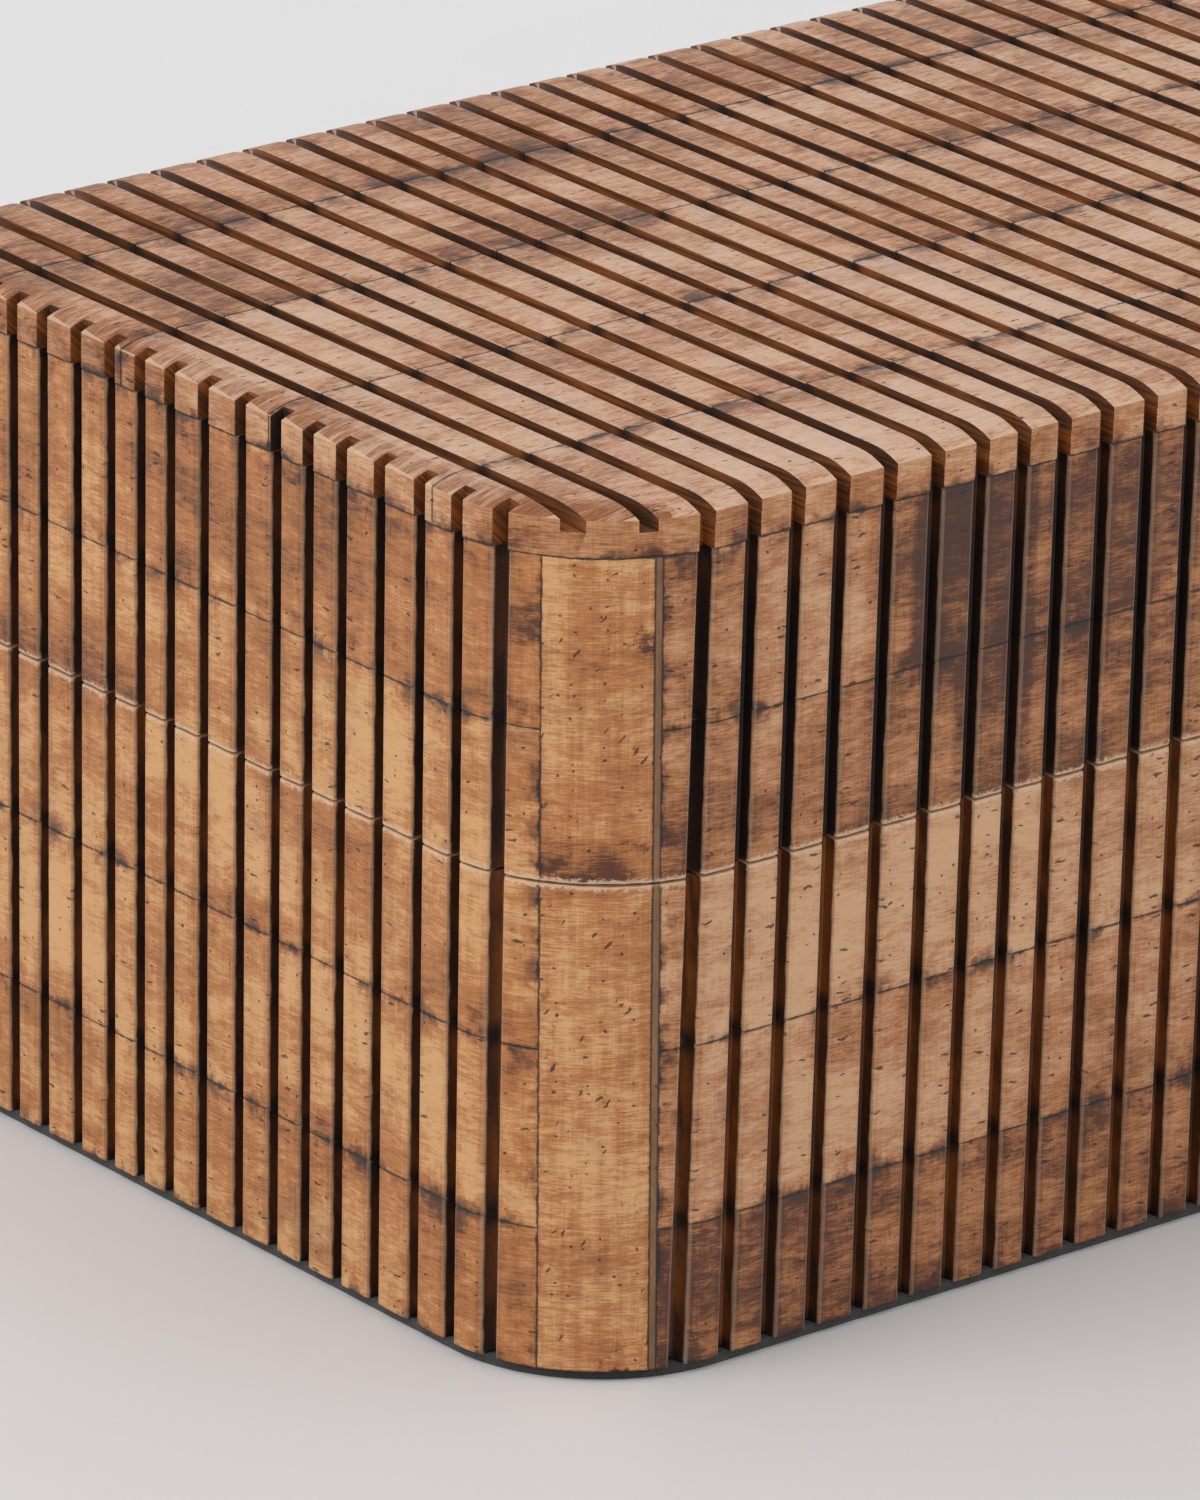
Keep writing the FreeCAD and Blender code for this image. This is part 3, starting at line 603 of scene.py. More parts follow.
def bone_material(name, look):
    """Browned bone: golden to scorched by tile, fine lines, pits, dark joints, stained saw cuts with
    painted shade, a painted sheen on the top and painted highlights on the arrises.
    """
    finish = bpy.context.scene.box_finish
    material, tree, surface = new_material(f"browned_bone_{name}", {"IOR": 1.5})
    vector = grain_vector(tree)
    mottle = use(tree, "mottle", {"Vector": vector, "Patch": look.patch, "Seed": look.seed})
    fibre = use(tree, "fibre", {"Vector": vector, "Length": 2.2, "Width": 0.2, "Seed": look.seed})
    dots = use(tree, "pores", {"Vector": vector, "Spacing": 1.5, "Size": 0.20, "Stretch": 1.2,
                               "Share": look.dots, "Seed": look.seed})
    dashes = use(tree, "pores", {"Vector": vector, "Spacing": 1.2, "Size": 0.20, "Stretch": 4.2,
                                 "Turn": look.slant, "Share": look.dashes, "Seed": look.seed + 5.0})
    distance = joint_distance(tree, name)
    joint = use(tree, "joint", {"Vector": vector, "Distance": distance, "Burn": look.burn,
                                "Seed": look.seed})
    height = add(tree, "ShaderNodeSeparateXYZ", {"Vector": vector}).outputs["Y"]

    level = bone_level(tree, look, mottle, fibre, joint, height)
    colour = browned(tree, look, level, mottle)
    if name == "top":
        colour = burnt_edge(tree, colour, mottle, fibre)
    colour = blend(tree, times(tree, joint["Halo"], 0.75), colour, finish.smoke)
    specks = larger(tree, dots["Mask"], dashes["Mask"])
    colour = blend(tree, times(tree, specks, 0.82), colour, finish.cut_dark_and_shade)
    colour = blend(tree, times(tree, joint["Line"], 0.85), colour, finish.cut_dark_and_shade)
    # Pale bone on chips, cut rims and the seam; along the arrises the pale line is partly wear and partly a
    # painted highlight.
    worn_and_glint = larger(tree, attribute(tree, "wear_and_glint"), fade(tree, attribute(tree, "skin"), 0.97, 0.85))
    if name != "top":
        worn_and_glint = larger(tree, worn_and_glint, pale_seam(tree, vector))
    colour = blend(tree, times(tree, worn_and_glint, 0.8), colour, finish.chipped)
    inside = fade(tree, attribute(tree, "cut"), 0.06, 0.22)
    colour = blend(tree, inside, colour, cut_stain(tree, look, vector, height, distance))

    rough = fade(tree, fibre["Lines"], 0.0, 1.0, 0.40, 0.52)
    rough = plus(tree, rough, times(tree, worn_and_glint, 0.25))
    relief = minus(tree, times(tree, fibre["Lines"], 0.25 * look.lines), specks)
    relief = plus(tree, relief, times(tree, fibre["Marks"], 0.08))
    relief = plus(tree, relief, times(tree, mottle["Cells"], 0.10))
    relief = minus(tree, relief, joint["Line"])
    finish_surface(tree, surface, colour, rough, relief, 0.06 * MM)
    return material


def strip_material():
    """Plain greyish filler strip beside the corner tiles."""
    finish = bpy.context.scene.box_finish
    material, tree, surface = new_material("pale_strip", {"IOR": 1.5})
    vector = grain_vector(tree)
    mottle = use(tree, "mottle", {"Vector": vector, "Patch": 9.0, "Seed": 3.0})
    fibre = use(tree, "fibre", {"Vector": vector, "Length": 0.6, "Width": 2.0, "Seed": 2.0})
    dots = use(tree, "pores", {"Vector": vector, "Spacing": 1.6, "Size": 0.2, "Share": 0.25, "Seed": 6.0})
    level = plus(tree, times(tree, mottle["Cloud"], 0.6), times(tree, fibre["Lines"], 0.4))
    colour = blend(tree, level, tint(148, 110, 74), tint(112, 80, 52))
    hairline = fade(tree, attribute(tree, "joint"), 0.04 * MM, 0.16 * MM, 0.8, 0.0)
    colour = blend(tree, hairline, colour, finish.cut_dark_and_shade)
    colour = blend(tree, times(tree, attribute(tree, "wear_and_glint"), 0.7), colour, finish.chipped)
    colour = blend(tree, times(tree, dots["Mask"], 0.8), colour, finish.cut_dark_and_shade)
    finish_surface(tree, surface, colour, fade(tree, mottle["Cells"], 0.0, 1.0, 0.45, 0.6),
                   minus(tree, fibre["Lines"], dots["Mask"]), 0.04 * MM)
    return material


def felt_material(name, colour, seed):
    """Wool felt."""
    material, tree, surface = new_material(name, {"Sheen Weight": 0.35, "Sheen Roughness": 0.5})
    vector = solid_vector(tree)
    nap = use(tree, "nap", {"Vector": vector, "Fibre": 0.45})
    dark, pale = (tuple(min(1.0, channel * share) for channel in colour[:3]) + (1.0,)
                  for share in (0.45, 1.8))
    flecks = cloud(tree, vector, 3.0, detail=2.0, seed=seed, kind="3D")
    shade = blend(tree, nap["Tone"], dark, colour)
    shade = blend(tree, fade(tree, flecks, 0.62, 0.72, 0.0, 0.35), shade, pale)
    rough = fade(tree, nap["Tone"], 0.0, 1.0, 0.9, 1.0)
    finish_surface(tree, surface, shade, rough, nap["Height"], 0.25 * MM)
    return material


def wood_material(name, along):
    """Stained wood of the boards, with its grain along one axis (0 for X, 1 for Y, 2 for Z)."""
    material, tree, surface = new_material(name, {"IOR": 1.45})
    vector = solid_vector(tree)
    scale = [0.55, 0.55, 0.55]
    scale[along] = 0.03
    flat = vector_math(tree, "MULTIPLY", vector, tuple(scale))
    rings = cloud(tree, flat, 1.0, detail=6.0, rough=0.6, seed=along, warp=0.8, kind="3D")
    fine = cloud(tree, flat, 6.0, detail=3.0, rough=0.7, seed=along + 2.0, kind="3D")
    parts = add(tree, "ShaderNodeSeparateXYZ", {"Vector": flat}).outputs
    others = [parts[axis] for axis in range(3) if axis != along]
    sheet = add(tree, "ShaderNodeCombineXYZ", {"X": parts[along], "Y": plus(tree, *others)}).outputs[0]
    pores = use(tree, "pores", {"Vector": sheet, "Spacing": 0.5, "Size": 0.06, "Share": 0.7, "Seed": 1.0})
    level = plus(tree, times(tree, fade(tree, rings, 0.3, 0.7), 0.7), times(tree, fine, 0.4))
    colour = blend(tree, fade(tree, level, 0.2, 0.9), tint(150, 100, 64), tint(92, 56, 34))
    colour = blend(tree, times(tree, pores["Mask"], 0.6), colour, tint(48, 28, 18))
    finish_surface(tree, surface, colour, fade(tree, fine, 0.3, 0.7, 0.5, 0.66),
                   minus(tree, fine, pores["Mask"]), 0.05 * MM)
    return material


def brass_material():
    """Brushed brass with a slight tarnish."""
    material, tree, surface = new_material("brushed_brass", {"Metallic": 1.0})
    vector = solid_vector(tree)
    flat = vector_math(tree, "MULTIPLY", vector, (0.4, 9.0, 9.0))
    brushed = cloud(tree, flat, 1.0, detail=3.0, kind="3D")
    tarnish = use(tree, "mottle", {"Vector": vector, "Patch": 6.0, "Seed": 9.0})
    colour = blend(tree, brushed, tint(214, 178, 104), tint(182, 142, 74))
    colour = blend(tree, times(tree, tarnish["Scorch"], 0.6), colour, tint(110, 74, 38))
    rough = plus(tree, fade(tree, brushed, 0.3, 0.7, 0.26, 0.4), times(tree, tarnish["Scorch"], 0.2))
    finish_surface(tree, surface, colour, rough, brushed, 0.01 * MM)
    return material


def kept_material(name, make):
    """Material by name, made the first time that it is asked for."""
    return bpy.data.materials.get(name) or make()


def bone(name):
    return kept_material(f"browned_bone_{name}", lambda: bone_material(name, BONE_LOOKS[name]))


def brass():
    return kept_material("brushed_brass", brass_material)


def wood(along):
    name = ("stained_wood_long", "stained_wood_cross", "stained_wood_upright")[along]
    return kept_material(name, lambda: wood_material(name, along))


# Geometry Nodes: wear and saw cuts on a plain plate


def named(tree, name, kind="FLOAT"):
    """A stored value of the plate's points."""
    return add(tree, "GeometryNodeInputNamedAttribute", {"Name": name}, data_type=kind).outputs[0]


def shifted(tree, geometry, shift):
    """Geometry with each of its points moved by a shift of its own."""
    return add(tree, "GeometryNodeSetPosition", {"Geometry": geometry, "Offset": shift}).outputs[0]


def end_tree(tree, geometry, material, result):
    """Close a tree with Realize Instances and Set Material."""
    whole = add(tree, "GeometryNodeRealizeInstances", {"Geometry": geometry}).outputs[0]
    dressed = add(tree, "GeometryNodeSetMaterial", {"Geometry": whole, "Material": material}).outputs[0]
    tree.links.new(dressed, result["Geometry"])
    return tree


def saw_cut_tree():
    """Cuts the slats into a plain tile plate, wears its edges and chips its rim along the seam."""
    tree, given, result = new_group(
        "saw_cut_tiles", "GeometryNodeTree",
        [("Geometry", "NodeSocketGeometry", None), ("Half width", FLOAT, 0.97 * MM),
         ("Depth", FLOAT, 2 * MM), ("Arris", FLOAT, 0.1 * MM), ("Waver", FLOAT, 0.1 * MM),
         ("Seam wear", FLOAT, 0.5 * MM), ("Joint wear", FLOAT, 0.1 * MM), ("Lift", FLOAT, 1.0),
         ("Seed", FLOAT, 0.0), ("Material", "NodeSocketMaterial", None)],
        [("Geometry", "NodeSocketGeometry")])
    place = add(tree, "GeometryNodeInputPosition").outputs[0]
    skin = named(tree, "skin")
    scratchy = cloud(tree, place, 900.0, detail=3.0, rough=0.65, seed=given["Seed"], kind="3D")
    chips = cloud(tree, place, 620.0, detail=4.0, rough=0.6, seed=plus(tree, given["Seed"], 4.0), kind="3D")
    wander = times(tree, minus(tree, scratchy, 0.5), given["Waver"])
    gap = plus(tree, named(tree, "gap"), wander)
    into = minus(tree, given["Half width"], gap)
    wall = fade(tree, into, -0.01 * MM, 0.10 * MM, 0.0, 0.80, "LINEAR")
    floor = fade(tree, into, 0.10 * MM, 0.55 * MM, 0.0, 0.20)
    cut = plus(tree, wall, floor)
    rounding = fade(tree, into, times(tree, given["Arris"], -2.2), 0.0, 0.0, 1.0)
    chipped = fade(tree, chips, 0.36, 0.66)
    reach = fade(tree, chipped, 0.0, 1.0, 0.25 * MM, 0.75 * MM)
    torn = fade(tree, named(tree, "rim"), 0.0, reach, 1.0, 0.0)
    chip_depth = times(tree, given["Seam wear"], fade(tree, chipped, 0.0, 1.0, 0.45, 1.0))
    seam = times(tree, torn, chip_depth)
    beside_joint = fade(tree, named(tree, "joint"), 0.0, 0.22 * MM, 1.0, 0.0)
    joint = times(tree, beside_joint, given["Joint wear"])
    inward = plus(tree, times(tree, cut, given["Depth"]), times(tree, rounding, given["Arris"]))
    inward = plus(tree, inward, larger(tree, seam, joint))
    deepest = plus(tree, given["Depth"], given["Arris"])
    inward = times(tree, smaller(tree, inward, deepest), skin)
    sunk = vector_math(tree, "SCALE", named(tree, "inward", "FLOAT_VECTOR"), scale=inward)
    raised = times(tree, times(tree, torn, torn), times(tree, chipped, skin))
    raised = times(tree, times(tree, raised, given["Seam wear"]), given["Lift"])
    upward = add(tree, "ShaderNodeCombineXYZ", {"Z": raised}).outputs[0]
    moved = shifted(tree, given["Geometry"], vector_math(tree, "ADD", sunk, upward))
    # Pale marks: chips along the seam, and along the arris of each cut a pale line that is partly wear and
    # partly a painted highlight.
    wear_and_glint = larger(tree, times(tree, torn, fade(tree, chips, 0.30, 0.55, 0.35, 1.0)),
                times(tree, rounding, minus(tree, 0.45, cut)))
    for name, value in (("cut", cut), ("wear_and_glint", wear_and_glint)):
        inputs = {"Geometry": moved, "Name": name, "Value": times(tree, value, skin)}
        moved = add(tree, "GeometryNodeStoreNamedAttribute", inputs, data_type="FLOAT",
                    domain="POINT").outputs[0]
    return end_tree(tree, moved, given["Material"], result)


def run_tree(obj, tree, values):
    """Put the tree on the object, fill its inputs by name, and keep the result as a plain mesh."""
    modifier = obj.modifiers.new(tree.name, "NODES")
    modifier.node_group = tree
    for item in tree.interface.items_tree:
        if item.item_type == "SOCKET" and item.in_out == "INPUT" and item.name in values:
            modifier[item.identifier] = values[item.name]
    return freeze(obj)


def freeze(obj):
    """Swap the object's mesh for its evaluated one and drop its modifiers."""
    graph = bpy.context.evaluated_depsgraph_get()
    mesh = bpy.data.meshes.new_from_object(obj.evaluated_get(graph), preserve_all_data_layers=True,
                                           depsgraph=graph)
    old = obj.data
    obj.modifiers.clear()
    obj.data = mesh
    mesh.name = obj.name
    bpy.data.meshes.remove(old)
    return obj


# Plates of cladding


Column = namedtuple("Column", "at gap joint tone smoke")
Row = namedtuple("Row", "height rim joint")
LAYERS = ("skin", "gap", "rim", "joint", "tone", "smoke")

# Where the columns and rows of a plate stand closer: across a saw cut in half widths of it, and from an
# edge in millimetres
CUT_STEPS = (0.0, 0.45, 0.85, 0.97, 1.0, 1.12, 1.4)
END_STEPS = (0.05, 0.15, 0.4, 0.9)
SEAM_STEPS = (0.08, 0.2, 0.35, 0.55, 0.8, 1.1, 1.5)
JOINT_STEPS = (0.05, 0.12, 0.25, 0.6)

# Greatest distances between columns on a face, between columns round a corner, and between rows
FACE_STEP = 1.0 * MM
ROUND_STEP = 0.6 * MM
ROW_STEP = 1.6 * MM

# Depths between which a point of the CAD solid lies on the floor of a saw cut
CUT_FLOOR = (1.2 * MM, 2.8 * MM)


def outline_drop(place, half_span):
    """How far the rounded outline lies behind the flat face, at a distance from the face's middle."""
    into = abs(place) - (half_span - CORNER_RADIUS)
    if into <= 0:
        return 0.0
    return CORNER_RADIUS - math.sqrt(max(CORNER_RADIUS ** 2 - into ** 2, 0.0))


def cut_edges(node, face, level):
    """Edges of the saw cuts of a course at one height, read off the CAD solid."""
    normal, along, half_span, distance = FACES[face]
    edges = set()
    for vertex in frame["nodes"][node].data.vertices:
        place = vertex.co.dot(along)
        depth = distance - vertex.co.dot(normal) - outline_drop(place, half_span)
        on_floor = CUT_FLOOR[0] < depth < CUT_FLOOR[1] and abs(place) < half_span - CORNER_RADIUS / 3
        if on_floor and abs(vertex.co.z - level) < 0.03 * MM:
            edges.add(round(place / MM, 2) * MM)
    edges = sorted(edges)
    merged = [edges[0]]
    for edge in edges[1:]:
        if edge - merged[-1] > 0.05 * MM:
            merged.append(edge)
    return merged


def saw_cuts(node, face):
    """Middle of each saw cut at the course's end away from the seam, and half the width of a cut."""
    low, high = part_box(node)
    level = low.z if node.startswith("base") else high.z
    edges = cut_edges(node, face, level)
    pairs = list(zip(edges[::2], edges[1::2]))
    return [(start + end) / 2 for start, end in pairs], (pairs[0][1] - pairs[0][0]) / 2, level


def cut_lean(face):
    """How far the saw cuts of a face slide sideways for each metre that they rise."""
    node = f"base_{face}_course_1"
    low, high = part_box(node)
    first, last = (cut_edges(node, face, level) for level in (low.z, high.z))
    return (sum(last) - sum(first)) / len(first) / (high.z - low.z)


def spread(marks, low, high, step):
    """Marks in order between two ends, with even ones added wherever two lie further apart than a step."""
    inside = sorted({round(mark, 8) for mark in marks if low < mark < high} | {low, high})
    filled = [inside[0]]
    for mark in inside[1:]:
        gap = mark - filled[-1]
        count = max(1, math.ceil(gap / step))
        start = filled[-1]
        filled.extend(start + gap * index / count for index in range(1, count + 1))
    return filled


def tile_tone(node, share):
    """Tone and smoke of the tile at a share of the course's length."""
    tiles = TILE_TONES.get(node)
    if tiles is None:
        dice = random.Random(node)
        tiles = [(0.25, dice.uniform(0.2, 0.55), dice.uniform(0.05, 0.3)) for _ in range(4)]
    passed = 0.0
    for length, tone, smoke in tiles:
        passed += length
        if share <= passed:
            return tone, smoke
    return tiles[-1][1:]


def face_point(face, place):
    """Skin and back of the cladding at a distance along a face, and the way into the cladding."""
    normal, along, half_span, distance = FACES[face]
    outer = along * place + normal * (distance - outline_drop(place, half_span))
    back = outer - normal * TILE_THICKNESS
    if abs(place) > half_span - CORNER_RADIUS:
        middle = along * math.copysign(half_span - CORNER_RADIUS, place)
        middle += normal * (distance - CORNER_RADIUS)
        back = middle + (outer - middle) * ((CORNER_RADIUS - TILE_THICKNESS) / CORNER_RADIUS)
    return outer, back, -normal, place


def face_columns(node, face):
    """Columns of points across one course: close together at the edges of each leaning saw cut."""
    along = FACES[face][1]
    low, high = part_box(node)
    first, last = low.dot(along), high.dot(along)
    cuts, half_width, level = saw_cuts(node, face)
    lean = cut_lean(face)
    marks = []
    for cut in cuts:
        for offset in CUT_STEPS:
            marks += [cut - offset * half_width, cut + offset * half_width]
    for offset in END_STEPS:
        marks += [first + offset * MM, last - offset * MM]
    margin = CUT_STEPS[-1] * half_width
    columns = []
    for place in spread(marks, first, last, FACE_STEP):
        share = min(1.0, (place - first) / (cuts[0] - margin - first),
                    (last - place) / (last - cuts[-1] - margin))

        def at(height, place=place, share=share):
            return face_point(face, place + lean * (height - level) * share)

        nearest = min(cuts, key=lambda cut: abs(place - cut))
        side = nearest - 0.1 * MM if place < nearest else nearest + 0.1 * MM
        tone, smoke = tile_tone(node, (side - first) / (last - first))
        columns.append(Column(at, abs(place - nearest), min(place - first, last - place), tone, smoke))
    return columns, half_width


def corner_columns(corner, start, end, tone, smoke):
    """Columns of points round a corner, between two angles."""
    side_x, side_y = CORNERS[corner]
    middle = Vector((side_x * (HALF_LENGTH - CORNER_RADIUS), side_y * (HALF_DEPTH - CORNER_RADIUS), 0))
    length = abs(end - start) * CORNER_RADIUS
    marks = [offset * MM for offset in END_STEPS]
    marks += [length - mark for mark in marks]
    columns = []
    for run in spread(marks, 0.0, length, ROUND_STEP):
        angle = start + (end - start) * run / length
        ray = Vector((math.cos(angle), math.sin(angle), 0))

        def at(height, ray=ray, run=run):
            return middle + ray * CORNER_RADIUS, middle + ray * (CORNER_RADIUS - TILE_THICKNESS), -ray, run

        columns.append(Column(at, FAR, min(run, length - run), tone, smoke))
    return columns


def plate_rows(low, high):
    """Rows of points up a plate: close together at the seam and at the joints."""
    at_seam = {end: abs(end - SEAM) < 1.0 * MM for end in (low, high)}
    marks = []
    for end, inward in ((low, 1), (high, -1)):
        offsets = SEAM_STEPS if at_seam[end] else JOINT_STEPS
        marks += [end + inward * offset * MM for offset in offsets]
    rows = []
    for height in spread(marks, low, high, ROW_STEP):
        rims = [abs(height - end) for end in (low, high) if at_seam[end]]
        joints = [abs(height - end) for end in (low, high) if not at_seam[end]]
        rows.append(Row(height, min(rims, default=FAR), min(joints, default=FAR)))
    return rows


def add_plate(bm, columns, rows):
    """Closed plate: a fine outer face, a plain back and four edges."""
    layers = {name: bm.verts.layers.float.get(name) or bm.verts.layers.float.new(name) for name in LAYERS}
    inward = bm.verts.layers.float_vector.get("inward") or bm.verts.layers.float_vector.new("inward")
    grain = bm.loops.layers.uv.get("grain") or bm.loops.layers.uv.new("grain")
    runs = {}

    def point(column, row, skin):
        outside, behind, way_in, run = column.at(row.height)
        place = outside.lerp(behind, 1.0 - skin)
        vertex = bm.verts.new((place.x, place.y, row.height))
        values = (float(skin == 1.0), column.gap, row.rim, min(column.joint, row.joint), column.tone,
                  column.smoke)
        for name, value in zip(LAYERS, values):
            vertex[layers[name]] = value
        vertex[inward] = way_in
        runs[vertex] = run
        return vertex

    outer = [[point(column, row, 1.0) for row in rows] for column in columns]
    back = [[point(column, row, 0.0) for row in (rows[0], rows[-1])] for column in columns]
    axis_share = 1.0 - (HALF_DEPTH - HINGE_AXIS.y) / TILE_THICKNESS
    ledge = [[point(column, row, axis_share) for row in (rows[0], rows[-1])] for column in columns]
    faces = []
    for index in range(len(columns) - 1):
        near, far = outer[index:index + 2]
        near_back, far_back = back[index:index + 2]
        near_ledge, far_ledge = ledge[index:index + 2]
        faces += [(near[j], far[j], far[j + 1], near[j + 1]) for j in range(len(rows) - 1)]
        faces.append((near_back[1], far_back[1], far_back[0], near_back[0]))
        faces.append((far[0], near[0], near_ledge[0], far_ledge[0]))
        faces.append((far_ledge[0], near_ledge[0], near_back[0], far_back[0]))
        faces.append((near[-1], far[-1], far_ledge[1], near_ledge[1]))
        faces.append((near_ledge[1], far_ledge[1], far_back[1], near_back[1]))
    faces.append(tuple(outer[0]) + (ledge[0][1], back[0][1], back[0][0], ledge[0][0]))
    faces.append(tuple(reversed(outer[-1])) + (ledge[-1][0], back[-1][0], back[-1][1], ledge[-1][1]))
    made = [bm.faces.new(corners) for corners in faces]
    for face in made:
        for loop in face.loops:
            loop[grain].uv = (runs[loop.vert], loop.vert.co.z)
    bmesh.ops.recalc_face_normals(bm, faces=made)


def mesh_object(name, bm):
    """Object at the origin from a finished bmesh, which is freed."""
    mesh = bpy.data.meshes.new(name)
    bm.to_mesh(mesh)
    bm.free()
    obj = bpy.data.objects.new(name, mesh)
    bpy.context.scene.collection.objects.link(obj)
    return obj


def smooth(obj, degrees=38.0):
    """Shade the object smooth but for the edges sharper than an angle."""
    obj.data.shade_smooth()
    obj.data.set_sharp_from_angle(angle=math.radians(degrees))
    return obj


def place_on(obj, body, slot, *nodes):
    """Hang the piece on its body's empty and hide the CAD nodes that it stands for; its finish (slot) is
    not used.
    """
    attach(obj, body)
    if nodes:
        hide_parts(*nodes)
    return obj


def cut_and_wear(obj, part, material, seed, half_width=0.0):
    """Run the saw-cut tree on a plain plate. A plate without saw cuts needs no half width."""
    settings = bpy.context.scene.box_cladding
    tree = bpy.data.node_groups.get("saw_cut_tiles") or saw_cut_tree()
    values = {"Half width": half_width, "Depth": settings.cut_depth, "Arris": settings.arris,
              "Waver": settings.waver, "Seam wear": settings.seam_wear * (0.6 if part == "lid" else 1.0),
              "Joint wear": settings.joint_wear, "Lift": 1.0 if part == "lid" else -1.0, "Seed": seed,
              "Material": material}
    return smooth(bevel_back_seam(run_tree(obj, tree, values)))


def bevel_back_seam(obj):
    """Draw the edge of the back plates away from the seam, along the CAD's hinge bevel."""
    skin = [vertex.co.z for vertex in frame["nodes"]["base_back_course_3"].data.vertices
            if vertex.co.y > HALF_DEPTH - 0.05 * MM]
    fall = (BASE_RIM - max(skin)) / (HALF_DEPTH - HINGE_AXIS.y)
    for vertex in obj.data.vertices:
        beyond = vertex.co.y - HINGE_AXIS.y
        height = vertex.co.z - SEAM
        distance = height - (LID_RIM - SEAM) if height > 0 else BASE_RIM - vertex.co.z
        if beyond > 0 and distance < BEVEL_REACH:
            drop = beyond * fall * (1 - max(distance, 0.0) / BEVEL_REACH)
            vertex.co.z += math.copysign(drop, height)
    return obj


def course(part, face, number):
    """One course of grooved tiles on one face of the base or the lid."""
    node = f"{part}_{face}_course_{number}"
    columns, half_width = face_columns(node, face)
    low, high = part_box(node)
    bm = bmesh.new()
    add_plate(bm, columns, plate_rows(low.z, high.z))
    look = "front" if face in ("front", "back") else "end"
    seed = float(number * 3 + len(face))
    obj = cut_and_wear(mesh_object(f"{node}_tiles", bm), part, bone(look), seed, half_width)
    return place_on(obj, part, "browned_bone", node)


def corner_angles(part, corner):
    """Start and end of the strip and of the corner tile, as angles round the corner, read off the CAD."""
    side_x, side_y = CORNERS[corner]
    middle_x = side_x * (HALF_LENGTH - CORNER_RADIUS)
    middle_y = side_y * (HALF_DEPTH - CORNER_RADIUS)
    node = frame["nodes"][f"{part}_corner_tile_{corner}"]
    angles = [math.atan2(v.co.y - middle_y, v.co.x - middle_x) for v in node.data.vertices]
    face = "front" if side_y < 0 else "back"
    band = frame["nodes"][f"{part}_{face}_course_1"]
    ends = [math.atan2(v.co.y - middle_y, v.co.x - middle_x) for v in band.data.vertices
            if v.co.x * side_x > abs(middle_x)]
    normal = math.atan2(side_y, 0)
    tile = sorted(angles, key=lambda angle: abs(angle - normal))
    edge = max(ends, key=lambda angle: abs(angle - normal))
    return edge, tile[0], tile[-1]


def corner_rows(part, node):
    """Rows of points up the plates on the corners of the base or the lid."""
    if part == "lid":
        return plate_rows(LID_RIM, TOP_JOINT)
    return plate_rows(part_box(node)[0].z, BASE_RIM)


def corner_tile(part, corner):
    """Plain curved tile on one corner."""
    node = f"{part}_corner_tile_{corner}"
    _, start, end = corner_angles(part, corner)
    bm = bmesh.new()
    add_plate(bm, corner_columns(corner, start, end, *CORNER_TONES[part]), corner_rows(part, node))
    obj = cut_and_wear(mesh_object(f"{node}_plate", bm), part, bone("corner"), float(len(corner)))
    return place_on(obj, part, "browned_bone", node)


def corner_strips(part):
    """The thin filler strips beside the four corner tiles."""
    node = f"{part}_corner_strips"
    bm = bmesh.new()
    for corner in CORNERS:
        start, end, _ = corner_angles(part, corner)
        add_plate(bm, corner_columns(corner, start, end, *STRIP_TONES), corner_rows(part, node))
    material = kept_material("pale_strip", strip_material)
    obj = cut_and_wear(mesh_object(f"{node}_filler", bm), part, material, 17.0)
    return place_on(obj, part, "pale_bone", node)


# Top strips, softened copies of the CAD solids


# What a face of a top strip is told by: distance from a joint, distance from the rim, depths below the
# skin of a worn arris, with its painted highlight, and of a saw cut, and distance from the ends of the box
# where the edge is burnt
JOINT_HALF = 0.16 * MM
RIM_BAND = 0.3 * MM
ARRIS_DEPTHS = (0.01 * MM, 0.1 * MM)
CUT_SHALLOWEST = 0.2 * MM
BURNT_END = 14.0 * MM


def clean_copy(node):
    """The CAD node's mesh with its loose triangles merged back into whole faces."""
    bm = bmesh.new()
    bm.from_mesh(frame["nodes"][node].data)
    bmesh.ops.remove_doubles(bm, verts=bm.verts, dist=1e-6)
    bmesh.ops.dissolve_limit(bm, angle_limit=math.radians(0.8), verts=bm.verts, edges=bm.edges)
    return bm


def soften(obj, width, segments=2):
    """Round the sharp edges with a narrow bevel."""
    modifier = obj.modifiers.new("worn_and_glint", "BEVEL")
    modifier.width = width
    modifier.segments = segments
    modifier.limit_method = "ANGLE"
    modifier.angle_limit = math.radians(35)
    modifier.use_clamp_overlap = True
    return freeze(obj)


def inside_outline(place):
    """Distance from the rounded outline, inwards."""
    over_x = abs(place.x) - (HALF_LENGTH - CORNER_RADIUS)
    over_y = abs(place.y) - (HALF_DEPTH - CORNER_RADIUS)
    if over_x > 0 and over_y > 0:
        return CORNER_RADIUS - math.hypot(over_x, over_y)
    return min(HALF_LENGTH - abs(place.x), HALF_DEPTH - abs(place.y))


def below_skin(place):
    """How far a point lies below the domed top skin."""
    outward = max(DOME_REACH - inside_outline(place), 0.0)
    return HEIGHT - place.z - (DOME_CURVE - math.sqrt(DOME_CURVE ** 2 - outward ** 2))


